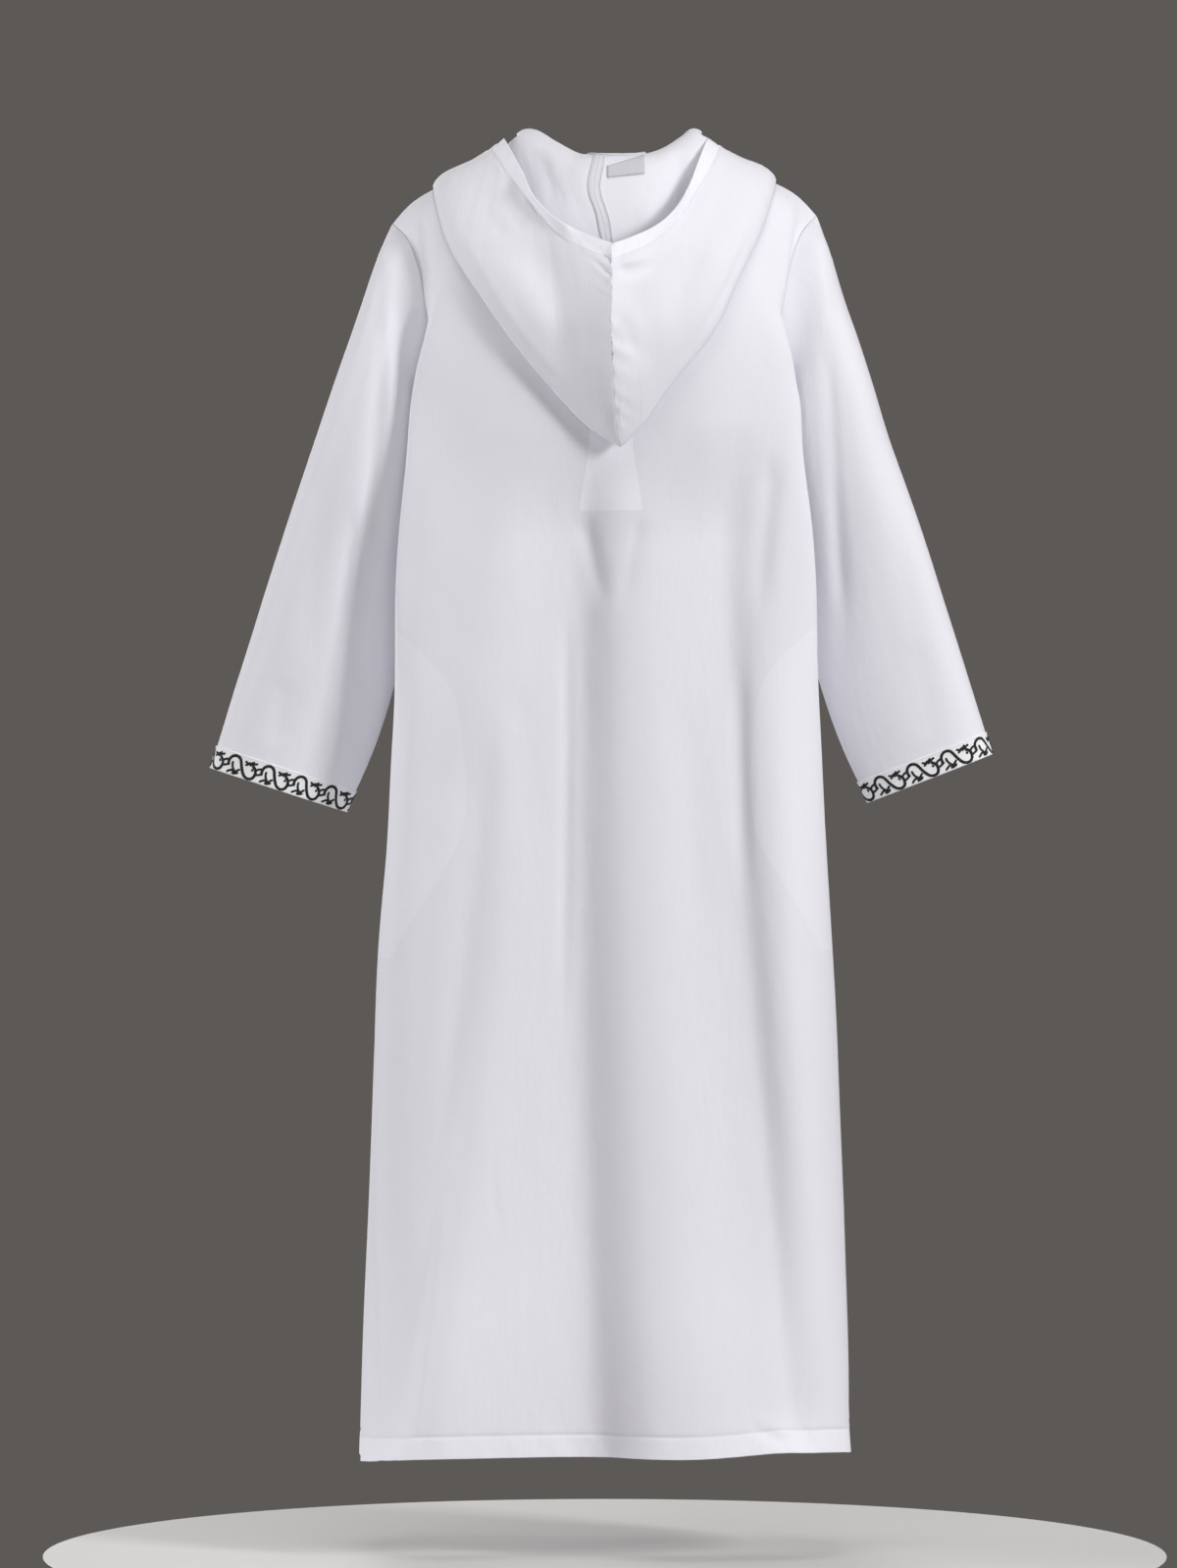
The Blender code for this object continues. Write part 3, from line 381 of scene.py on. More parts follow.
# How the creases, seams and hems are pressed in
CREASE_FADE = 0.28
CREASE_SAMPLES = 25
LIP_PLACE = 1.7
CLOTH_UNEVENNESS = 0.55
HOOD_UNEVENNESS = 0.8
ARMHOLE_PUCKER = 0.5
SEAM_SINK = 0.9
SEAM_SINK_WIDTH = 1.8
HOOD_SINK = 0.4
ARMHOLE_SINK_SHARE = 0.35
# ARMHOLE_SHADE_OFF moves the painted seam shade a little off the armhole seams.
ARMHOLE_SHADE_OFF = 1.2
SEAM_ROLL = {LEFT: 1.9, RIGHT: -0.7}
HEM_PULL = 0.9
HEM_PUCKER = 0.5
HEM_WAVE = 1.3
RIM_PULL = 1.3
RIM_TURN = 5.0
RIM_PUCKER = 0.4
SWING = 9.0
SWING_HEIGHT = 50.0
SWING_HALF_HEIGHT = 26.0
NECK_LINE = 4

# Uneven cloth as sums of waves: the seed of each draw, the longest and the shortest wave, and how
# much of the distance along the piece counts, 0 for ripples that run straight across it.
WAVE_COUNT = 14
Waves = namedtuple("Waves", "seed longest shortest stretch")
WAVES = {
    "back": Waves(11, 180, 50, 0.35),
    "back pucker": Waves(12, 46, 13, 0.1),
    "back hem": Waves(13, 120, 30, 0),
    "front": Waves(23, 180, 50, 0.35),
    "front pucker": Waves(24, 46, 13, 0.1),
    "front hem": Waves(25, 120, 30, 0),
    "sleeve_left": Waves(31, 130, 40, 0.45),
    "sleeve_left pucker": Waves(32, 34, 12, 0.2),
    "sleeve_right": Waves(47, 130, 40, 0.45),
    "sleeve_right pucker": Waves(48, 34, 12, 0.2),
    "hood_left": Waves(53, 120, 34, 0.6),
    "hood_right": Waves(67, 120, 34, 0.6),
    "rim": Waves(71, 30, 9, 0),
    "ribbon_left": Waves(82, 60, 18, 0),
    "ribbon_right": Waves(84, 60, 18, 0),
    "allowance": Waves(97, 46, 9, 0),
    "allowance width": Waves(98, 18, 5, 0),
}

# Thickness of the pieces, how far inside the cloth the sewn-in ones lie, and their steps
CLOTH = 0.9
TURNED_CLOTH = 1.8
LINING_CLOTH = 0.8
LINING_GAP = 3.2
LINING_SHADE = 0.97
ALLOWANCE_SHADE = 0.95
BAG_STEPS = (44, 24)
FACING_COLUMNS = 12
SLIT_STITCH = 5.0

# How much a second layer shows through: the hem, the pocket bags, the facing and the hood's hem.
# The facing at the front also shows through the back, between these heights.
HEM_SHOWS, BAG_SHOWS, FACING_SHOWS, RIM_SHOWS = 0.8, 0.35, 1.0, 0.9
ShownRow = namedtuple("ShownRow", "height half")
BEHIND_TOP = ShownRow(-320.4, 23.3)
BEHIND_BOTTOM = ShownRow(-388.7, 34.2)
BEHIND_MIDDLE = 6.5
UNDER_HOOD = 200.0

# The cuffs' ribbon and its cord. The ribbon's profile gives its relief at heights up it.
BAND_LEVELS = 27
RIBBON_STEPS = 280
RIBBON_LIFT = 0.25
RIBBON_THICKNESS = 0.9
RIBBON_UNEVENNESS = 0.35
RIBBON_PROFILE = (
    (0, -0.3), (0.3, 0.1), (0.9, 0.25), (1.6, 0.1), (2.4, 0), (7, 0), (12.5, 0),
    (18, 0), (22.6, 0), (23.4, 0.1), (24.1, 0.25), (24.7, 0.1), (25, -0.3),
)
CORD_RISE = 0.2
CORD_HEIGHT = 1.1
THIN_CORD = 0.78
CORD_STEP = 0.7
CORD_TWIST = 0.1
CORD_PITCH = 2.8
CORD_END = 0.55
SCROLL_STARTS = {LEFT: 41.8, RIGHT: 30.0}

# Each row of stitches, how far inside the edge some lie, and the places along a stitch with how
# far the thread rises at each
HEM_STITCH_INSET = 0.7
FACING_STITCH_INSET = 3
RIBBON_STITCH_INSET = 1.3
Sewing = namedtuple("Sewing", "pitch length width height lift")
HEM_SEWING = Sewing(3.1, 2.4, 0.5, 0.35, -0.05)
RIM_SEWING = Sewing(2.9, 2.2, 0.5, 0.35, -0.05)
SLIT_SEWING = Sewing(3.0, 2.3, 0.5, 0.35, -0.05)
CUFF_SEWING = Sewing(2.9, 2.1, 0.45, 0.35, 0.0)
LABEL_SEWING = Sewing(2.4, 1.8, 0.45, 0.3, 0.1)
STITCH_PLACES = (-0.5, -0.22, 0.22, 0.5)
STITCH_RISES = (-0.8, 0.42, 0.42, -0.8)

# The serged allowances inside the hood and the blank label, which is given by its corners' places
# in width and height: upper left, upper right, lower right and lower left.
HOOD_SEAM_STRIP_HALF = 6.2
SeamStrip = namedtuple("SeamStrip", "left right down tall")
NECK_SEAM_STRIP = SeamStrip(-20.0, 48.0, 9.0, 11.0)
LABEL_CORNERS = ((2.8, -24.2), (41.5, -12.1), (41.8, -32.0), (2.8, -36.2))
LABEL_STEPS = (25, 17)
LABEL_DEPTHS = (0.4, 1.3)
BELOW_CREST = 27.0

# The studio
CAMERA_PLACE = (-0.0173, -8.0, -0.677)
CAMERA_SENSOR = 24.0
CAMERA_LENS = 114.36
FLOOR_RADIUS = 0.6
FLOOR_SIDES = 128
WHITE, COOL = (1.0, 1.0, 1.0), (0.98, 0.99, 1.0)
SoftLight = namedtuple("SoftLight", "name place size colour share")
LIGHTS_AIM = Vector((0, 0, -0.65))
STUDIO_LIGHTS = table(
    SoftLight,
    ("key", (3.63, -2.94, 1.14), (1.1, 1.4), WHITE, 1),
    ("left", (-3.2, -3.82, -0.21), (1.8, 3), COOL, 0.26),
    ("left_edge", (-4.99, 0, -0.39), (1.6, 3), COOL, 1.6),
    ("right_edge", (4.94, 0.69, -0.39), (1.6, 3), WHITE, 0.3),
    ("front", (0, -5.99, -0.34), (3, 3), COOL, 0.6),
    ("low", (0, -5.44, -3.19), (3, 2), COOL, 0.52),
    ("top", (0, -1.54, 3.58), (2.4, 2.4), WHITE, 0.75),
    ("behind", (-1, 4.8, 0.8), (2.6, 2.6), WHITE, 1.6),
)


# Curves and surfaces


def spline(knots, values, at):
    """A natural cubic spline through values at the knots, read at other places."""
    knots, values = np.asarray(knots, float), np.asarray(values, float)
    steps = np.diff(knots)
    count = len(knots)
    system, right = np.eye(count), np.zeros_like(values)
    slopes = (values[1:] - values[:-1]) / steps.reshape((-1,) + (1,) * (values.ndim - 1))
    for i in range(1, count - 1):
        system[i, i - 1 : i + 2] = steps[i - 1], 2 * (steps[i - 1] + steps[i]), steps[i]
        right[i] = 6 * (slopes[i] - slopes[i - 1])
    bend = np.linalg.solve(system, right.reshape(count, -1)).reshape(values.shape)
    at = np.clip(np.asarray(at, float), knots[0], knots[-1])
    k = np.clip(np.searchsorted(knots, at, side="right") - 1, 0, count - 2)
    shape = (-1,) + (1,) * (values.ndim - 1)
    h = steps[k].reshape(shape)
    b = ((at - knots[k]).reshape(shape)) / h
    a = 1 - b
    curved = (a**3 - a) * bend[k] + (b**3 - b) * bend[k + 1]
    return a * values[k] + b * values[k + 1] + curved * h**2 / 6


def chord_knots(net):
    """Knots along the first axis of a net of points, spaced as its points are on average."""
    lengths = np.linalg.norm(np.diff(net, axis=0), axis=2).mean(axis=1)
    return np.concatenate([[0.0], np.cumsum(lengths)])


def line_run(line):
    """The distance of each point of a line from its first."""
    return chord_knots(line[:, None])


def along_line(run, line, places):
    """Points of a line of straight pieces at these distances along it."""
    return np.stack([np.interp(places, run, line[:, axis]) for axis in range(3)], axis=-1)


def steps_between(knots, counts):
    """Places along the knots, with the given number of steps in each span."""
    places = [np.linspace(a, b, n, endpoint=False) for a, b, n in zip(knots[:-1], knots[1:], counts)]
    return np.concatenate(places + [[knots[-1]]])


def unit(vectors):
    return vectors / np.maximum(np.linalg.norm(vectors, axis=-1, keepdims=True), 1e-9)


def normals_of(grid):
    """Unit normals of a grid of points, to the side of rows crossed with columns."""
    along, across = np.gradient(grid, axis=0), np.gradient(grid, axis=1)
    return unit(np.cross(along, across))


def smoothstep(x):
    x = np.clip(x, 0, 1)
    return x * x * (3 - 2 * x)


def wrapped(grid):
    """A tube's grid with its first column again after the last."""
    return np.concatenate([grid, grid[:, :1]], axis=1)


def bell(x):
    return np.exp(-(x**2))


def mix(first, second, share):
    return first * (1 - share) + second * share


def through(t, first, middle, last):
    """A curve through three values, where t is 0, a half and 1."""
    return (1 - t) * (1 - 2 * t) * first + 4 * t * (1 - t) * middle + t * (2 * t - 1) * last


def read_grid(grid, row, column):
    """Points of a grid at places between its rows and columns."""
    row = np.clip(row, 0, grid.shape[0] - 1.000001)
    column = np.clip(column, 0, grid.shape[1] - 1.000001)
    i, j = row.astype(int), column.astype(int)
    s, t = (row - i)[..., None], (column - j)[..., None]
    return mix(mix(grid[i, j], grid[i, j + 1], t), mix(grid[i + 1, j], grid[i + 1, j + 1], t), s)


def surface_at(grid, facing, row, column):
    """Points of a grid and their normals at places between its rows and columns."""
    return read_grid(grid, row, column), unit(read_grid(facing, row, column))


def columns_along(grid, row, columns, distances):
    """Places between these columns of a row, at distances along it from the first of them."""
    return np.interp(distances, line_run(read_grid(grid, row, columns)), columns)


# Creases, ripples and puckers


def pressed(points, creases):
    """How far the creases move each point along its normal, by its place in width and height."""
    x, z = points[..., 0], points[..., 2]
    move = np.zeros(x.shape)
    t = np.linspace(0, 1, CREASE_SAMPLES)
    fade = smoothstep(t / CREASE_FADE) * smoothstep((1 - t) / CREASE_FADE)
    for crease in creases:
        line_x = through(t, crease.x0, crease.x1, crease.x2)
        line_z = through(t, crease.z0, crease.z1, crease.z2)
        reach = 4 * crease.half_width
        near = (x > line_x.min() - reach) & (x < line_x.max() + reach)
        near &= (z > line_z.min() - reach) & (z < line_z.max() + reach)
        if not near.any():
            continue
        off_x, off_z = x[near][:, None] - line_x, z[near][:, None] - line_z
        nearest = (off_x**2 + off_z**2).argmin(axis=1)
        pick = np.arange(len(nearest)), nearest
        off_x, off_z = off_x[pick], off_z[pick]
        way_x, way_z = np.gradient(line_x)[nearest], np.gradient(line_z)[nearest]
        step = np.hypot(way_x, way_z)
        off = (way_x * off_z - way_z * off_x) / step / crease.half_width
        along = nearest + (way_x * off_x + way_z * off_z) / step**2
        trough = bell(off) * crease.depth
        lip = bell(off - LIP_PLACE) * crease.lip
        move[near] += (lip - trough) * np.interp(along, np.arange(CREASE_SAMPLES), fade)
    return move


def ripple(u, v, word):
    """A gentle unevenness between -1 and 1 from a sum of waves, the same in each run."""
    waves = WAVES[word]
    v = v * waves.stretch
    draw = np.random.default_rng(waves.seed)
    total, weight = np.zeros(np.broadcast(u, v).shape), 0.0
    for _ in range(WAVE_COUNT):
        length = math.exp(draw.uniform(math.log(waves.shortest), math.log(waves.longest)))
        turn, phase = draw.uniform(0, math.pi), draw.uniform(0, 2 * math.pi)
        share = length / waves.longest
        along = u * math.cos(turn) + v * math.sin(turn)
        total += share * np.sin(2 * math.pi * along / length + phase)
        weight += share
    return total / weight * 2


def run_of(grid, axis):
    """The distance of each point of a grid from the grid's edge, along its rows or columns."""
    lengths = np.linalg.norm(np.diff(grid, axis=axis), axis=2)
    start = np.zeros_like(lengths[:1]) if axis == 0 else np.zeros_like(lengths[:, :1])
    return np.concatenate([start, np.cumsum(lengths, axis=axis)], axis=axis)


def with_finer(places, beside_start=(), beside_end=()):
    """Even places, with finer ones beside the ends, and none too close to its neighbour."""
    first, last = places[0], places[-1]
    finer = [first + step for step in beside_start] + [last - step for step in beside_end]
    kept = [p for p in places if p in (first, last) or all(abs(p - f) > LEAST_STEP for f in finer)]
    return np.sort(np.array(kept + finer))


# The body


def skirt_row(section, face):
    """Points across one level section, from the side seam to the centre."""
    depth = section.back if face == "back" else section.front
    low, high = HOLLOW_KEEPS
    keep = low + (high - low) * float(smoothstep(section.draw_in / DEEP_DRAW_IN))
    widths = [section.half_width - section.draw_in, section.half_width - section.draw_in * keep]
    widths += [section.half_width * share for share in ACROSS]
    shares = (0.0, section.corner * HOLLOW_AT, section.corner) + DEPTH_SHARES[face]
    rise = HEM_RISE if section.height == HEM_HEIGHT else 0.0
    return [
        (x, OUTWARDS[face] * depth * share, section.height + rise * share)
        for x, share in zip(widths, shares)
    ]


def yoke_point(line, bottom, level, face):
    """The point of a yoke line at a level between the underarm, 0, and its top, 1."""
    run = (1 - line.hook) * level + line.hook * level**HOOK_POWER
    swell = math.sin(math.pi * level) ** (ARMHOLE_ROUNDNESS if line.hook else 2)
    late = math.sin(math.pi * level**BOW_LATENESS) ** 2
    x = bottom[0] + (line.top_x - bottom[0]) * run + line.bow * late
    y = line.top_y + (bottom[1] - line.top_y) * math.sqrt(max(0.0, 1 - level**line.fullness))
    return x, y + OUTWARDS[face] * line.bulge * swell, bottom[2] + (line.top_z - bottom[2]) * level


def body_net(face):
    """The points that a panel's surface passes through: a row for each section, -X to +X."""
    half = [skirt_row(section, face) for section in SKIRT]
    underarm = half[-1]
    for level in YOKE_LEVELS:
        lines = zip(YOKE[face], underarm)
        half.append([yoke_point(line, start, level, face) for line, start in lines])
    half = np.array(half)
    return np.concatenate([half * (-1, 1, 1), half[:, -2::-1]], axis=1)


def fold_depth(face, x, z):
    """How far the large folds draw the cloth in at a place across and a height."""
    depth = np.zeros_like(x)
    for fold in FOLDS[face]:
        down = np.clip((fold.top - z) / (fold.top - fold.bottom), 0.0, 1.0)
        middle = through(down, fold.x_top, fold.x_middle, fold.x_bottom)
        width = fold.width_top + (fold.width_bottom - fold.width_top) * down
        deep = fold.depth_top + (fold.depth_bottom - fold.depth_top) * down
        fade = smoothstep((fold.top - z) / FOLD_FADE)
        if fold.bottom > HEM_HEIGHT:
            fade = fade * smoothstep((z - fold.bottom) / FOLD_FADE + 0.5)
        width = width * (1 + fold.skew * np.tanh(2.5 * (x - middle) / width))
        depth += deep * fade * bell((x - middle) / width)
    return depth


class Body:
    """The back and the front: the right side of their cloth, and the places in it that others use."""

    def __init__(self):
        nets = {face: body_net(face) for face in FACES}
        across = np.mean([chord_knots(np.swapaxes(net, 0, 1)) for net in nets.values()], axis=0)
        up = np.mean([chord_knots(net) for net in nets.values()], axis=0)
        columns = steps_between(across, SPAN_STEPS + SPAN_STEPS[::-1])
        columns = with_finer(columns, BESIDE_SEAM, BESIDE_SEAM)
        skirt_top = up[len(SKIRT) - 1]
        skirt = with_finer(np.linspace(0, skirt_top, SKIRT_STEPS + 1), BESIDE_HEM)
        yoke = with_finer(np.linspace(skirt_top, up[-1], YOKE_STEPS + 1), (), BESIDE_SEAM)
        rows = np.concatenate([skirt, yoke[1:]])
        self.underarm = len(skirt) - 1
        self.middle = int(np.abs(columns - across[len(across) // 2]).argmin())
        self.neck = int(np.abs(columns - across[NECK_LINE]).argmin())
        self.from_seam = np.minimum(columns, columns[-1] - columns)
        self.from_hem = rows
        self.beside_armhole = (np.arange(len(rows)) >= self.underarm)[:, None]
        self.grids = {}
        for face, net in nets.items():
            wide = np.swapaxes(spline(across, np.swapaxes(net, 0, 1), columns), 0, 1)
            grid = spline(up, wide, rows)
            depth = fold_depth(face, grid[..., 0], grid[..., 2])
            depth *= smoothstep(self.from_seam / SEAM_FADE)
            grid = grid - self.facing(grid, face) * depth[..., None]
            self.grids[face] = grid + self.facing(grid, face) * self.pressed_in(grid, face)[..., None]
        self.join()

    def facing(self, grid, face):
        return normals_of(grid) * OUTWARDS[face]

    def pressed_in(self, grid, face):
        """The creases, the unevenness of the cloth and the pulled line of the hem's sewing."""
        across, up = run_of(grid, 1), self.from_hem[:, None] + np.zeros(grid.shape[:2])
        steady = smoothstep(self.from_seam / SEAM_FADE)[None, :]
        high = smoothstep((grid[-1, :, 2].max() - grid[..., 2]) / SEAM_FADE)
        move = pressed(raised(grid), CREASES[face]) * smoothstep(self.from_seam / (SEAM_FADE / 2))
        move = move + CLOTH_UNEVENNESS * ripple(across, up, face) * steady * high
        hem = bell((up - HEM_DEPTH) / 1.4) * -HEM_PULL
        pucker = ripple(across + 0.8 * up, up, face + " pucker")
        near_line = np.exp(-np.maximum(up - HEM_DEPTH, 0) / 16)
        wave = ripple(across, up, face + " hem")
        hem = hem + HEM_PUCKER * pucker * near_line + HEM_WAVE * wave * np.exp(-up / 30)
        return move + hem * steady

    def join(self):
        """Brings both panels to the same seams, with the same normals there."""
        low, neck = slice(0, self.underarm + 1), self.neck + 1
        seams = ((low, 0), (low, -1), (-1, slice(0, neck)), (-1, slice(-neck, None)))
        back, front = (self.grids[face] for face in FACES)
        for seam in seams:
            back[seam] = front[seam] = (back[seam] + front[seam]) / 2
        self.normals = {face: self.facing(self.grids[face], face) for face in FACES}
        for seam in seams:
            share_normals(*(self.normals[face][seam] for face in FACES))

    def armhole(self, side):
        """The armhole from the shoulder down the back and up the front, and each point's angle."""
        back, front = (self.grids[face][self.underarm :, EDGE_COLUMN[side]] for face in FACES)
        back = back[::-1]
        angles = []
        for line, start in ((back, 0.0), (front, math.pi)):
            run = line_run(line)
            angles.append(start + math.pi * run / run[-1])
        return np.concatenate([back, front[1:-1]]), np.concatenate([angles[0], angles[1][1:-1]])

    def neckline(self, side):
        """Half of the neckline, from the middle of the back to the middle of the front."""
        back, front = (self.grids[face][-1, ::-side][self.neck : self.middle + 1] for face in FACES)
        return np.concatenate([back[::-1], front[1:]])

    def row_at(self, face, column, height):
        """The place between a panel's rows where one of its columns reaches a height."""
        heights = self.grids[face][:, column, 2]
        return np.interp(height, heights, np.arange(len(heights)))


def share_normals(first, second):
    """Gives two edges that meet on a seam the same normals, in place."""
    both = unit(first + second)
    first[...] = both
    second[...] = both


def raised(points):
    """The whole robe hangs a little higher on the wearer's right."""
    x = points[..., :1]
    return points + RAISED_RIGHT * x * smoothstep((x - RAISED_FROM) / RAISED_OVER) * (0, 0, 1)


# The sleeves


class Sleeve:
    """One sleeve's right side: rows from the armhole to the cuff, columns round it."""

    def __init__(self, body, side, word):
        start, angle = body.armhole(side)
        away, behind = np.cos(angle), np.sin(angle)
        self.underarm = len(body.from_hem) - body.underarm - 1
        rings = [start]
        for number, ring in enumerate(SLEEVE, 1):
            out_shift = RIGHT_OUTER_SHIFT * min(1.0, number / SHIFTED_RINGS) * (side == RIGHT)
            in_shift = RIGHT_CUFF_SHIFT * (number / len(SLEEVE)) ** 2 * (side == RIGHT)
            hang = float(smoothstep(number / HANG_RINGS))
            middle_y = ring.middle_y - SLEEVE_BACKWARDS * hang
            outer = np.array((side * (ring.outer_x - out_shift), middle_y, ring.outer_z))
            inner = np.array((side * (ring.inner_x + in_shift), middle_y, ring.inner_z))
            reach = (outer - inner) / 2 * away[:, None]
            full = (1 - np.maximum(away, 0) ** SLEEVE_FULLNESS) ** (1 / SLEEVE_FULLNESS)
            full = np.where(away > 0, np.copysign(full, behind), behind)
            narrowed = full * (1 - UNDERARM_PINCH * ((1 - away) / 2) ** 2)
            turned = SLEEVE_TURN[side] * hang * np.linalg.norm(reach, axis=1)[0] * (1 + away)
            depth = np.array((0.0, -1.0, 0.0)) * (ring.half_depth * narrowed + turned)[:, None]
            rings.append((outer + inner) / 2 + reach + depth)
        net = np.array(rings)
        along = chord_knots(net)
        self.rows = with_finer(np.linspace(0, along[-1], SLEEVE_STEPS + 1), BESIDE_SEAM, BESIDE_TRIM)
        grid = spline(along, net, self.rows)
        facing = tube_normals(grid)
        steady = smoothstep(self.rows / 18)[:, None]
        cuff = smoothstep((self.rows[-1] - self.rows) / 60)[:, None]
        name = "sleeve_" + word
        around = run_of(wrapped(grid), 1)
        unwrapped = np.minimum(around, around[:, -1:] - around)[:, :-1]
        uneven = ripple(unwrapped, self.rows[:, None], name) * CLOTH_UNEVENNESS
        back = smoothstep(-facing[..., 1] / 0.35 + 0.5)
        seen = raised(grid)
        move = pressed(seen, CREASES[name]) * back
        d0, d1, d2 = FRONT_CREASE_DROPS
        others = [c._replace(z0=c.z0 - d0, z1=c.z1 - d1, z2=c.z2 - d2) for c in CREASES[name]]
        move = (move + pressed(seen, others) * (1 - back)) * (0.35 + 0.65 * cuff)
        near_armhole = np.exp(-self.rows / 10)[:, None]
        pucker = ripple(unwrapped, self.rows[:, None], name + " pucker") * near_armhole
        move = (move + uneven * (0.4 + 0.6 * cuff) + ARMHOLE_PUCKER * pucker) * steady
        self.grid = grid + facing * move[..., None]
        self.normals = tube_normals(self.grid)
        self.share_armhole(body, side)
        self.side = side

    def share_armhole(self, body, side):
        """Gives the first ring and the panels' armholes the same normals."""
        back, front = (body.normals[face][body.underarm :, EDGE_COLUMN[side]] for face in FACES)
        count = len(back)
        sleeve_back, sleeve_front = self.normals[0, :count], self.normals[0, count:]
        share_normals(back[::-1], sleeve_back)
        share_normals(front[1:-1], sleeve_front)
        front[0], front[-1] = back[0], back[-1]

    def ring(self, up_from_cuff):
        """The sleeve's points and normals round it, this far above the cuff's edge."""
        row = np.interp(self.rows[-1] - up_from_cuff, self.rows, np.arange(len(self.rows)))
        low = min(int(row), len(self.rows) - 2)
        points, facing = (
            mix(*wrapped(each)[low : low + 2], row - low) for each in (self.grid, self.normals)
        )
        return points, unit(facing)


def tube_normals(grid):
    """Normals of a tube, away from its middle line."""
    round_it = np.concatenate([grid[:, -1:], grid, grid[:, :1]], axis=1)
    normals = normals_of(round_it)[:, 1:-1]
    outward = grid - grid.mean(axis=1, keepdims=True)
    return normals * np.sign((normals * outward).sum())


# The hood


class Ground:
    """What the hood lies on: the panels' points and normals."""

    def __init__(self, body):
        first_row = body.underarm // 2
        self.points, self.facing = (
            np.concatenate([grids[face][first_row:].reshape(-1, 3) for face in FACES])
            for grids in (body.grids, body.normals)
        )
        self.tree = kdtree.KDTree(len(self.points))
        for number, point in enumerate(self.points):
            self.tree.insert(point, number)
        self.tree.balance()

    def cleared(self, point, lift):
        """The point, moved out until it stands this far off the cloth."""
        number = self.tree.find(point)[1]
        off = float((point - self.points[number]) @ self.facing[number])
        return point + self.facing[number] * max(0.0, lift - off)

    def above(self, x, z, front, lift):
        """The place on the back or front at this width and height, and its normal."""
        side = self.points[:, 1] > 0 if front else self.points[:, 1] <= 0
        miss = (self.points[:, 0] - x) ** 2 + (self.points[:, 2] - z) ** 2 + ~side * 1e6
        number = int(miss.argmin())
        return self.points[number] + self.facing[number] * lift, self.facing[number]


def hood_net(ground, edge, side):
    """The points that half a hood passes through: a row for each station, along the cloth."""
    run = line_run(edge)
    seam = along_line(run, edge, np.linspace(0, run[-1], len(HOOD)))
    rows = []
    for number, (station, start) in enumerate(zip(HOOD, seam)):
        x = side * station.fold_x + station.fold_lean
        low, facing = ground.above(x, station.fold_z, number > SHOULDER_STATION, station.fold_lift)
        crest_x = side * station.crest_x + station.crest_lean
        crest = np.array((crest_x, station.crest_y, station.crest_z))
        away = unit(crest * (1, 1, 0) - (0, NECK_MIDDLE_Y, 0))
        past_crest = crest + away * PAST_CREST[0] + (0, 0, PAST_CREST[1])
        turned = unit(low - past_crest) * station.turn
        under = [past_crest + (low - past_crest) * share for share in UNDER_LAYER_SHARES]
        under.append(low - turned - facing * station.fold_lift / 2)
        rows.append(
            [start + (0, 0, NECK_SEAM_GAP), crest, past_crest]
            + [ground.cleared(point, UNDER_LAYER_LIFT) for point in under]
            + [low, low - turned + facing * station.turn]
            + [(side * station.middle_x + station.lean, station.middle_y, station.middle_z)]
            + [(side * station.rim_x + station.lean, station.rim_y, station.rim_z)]
        )
    return np.array(rows)


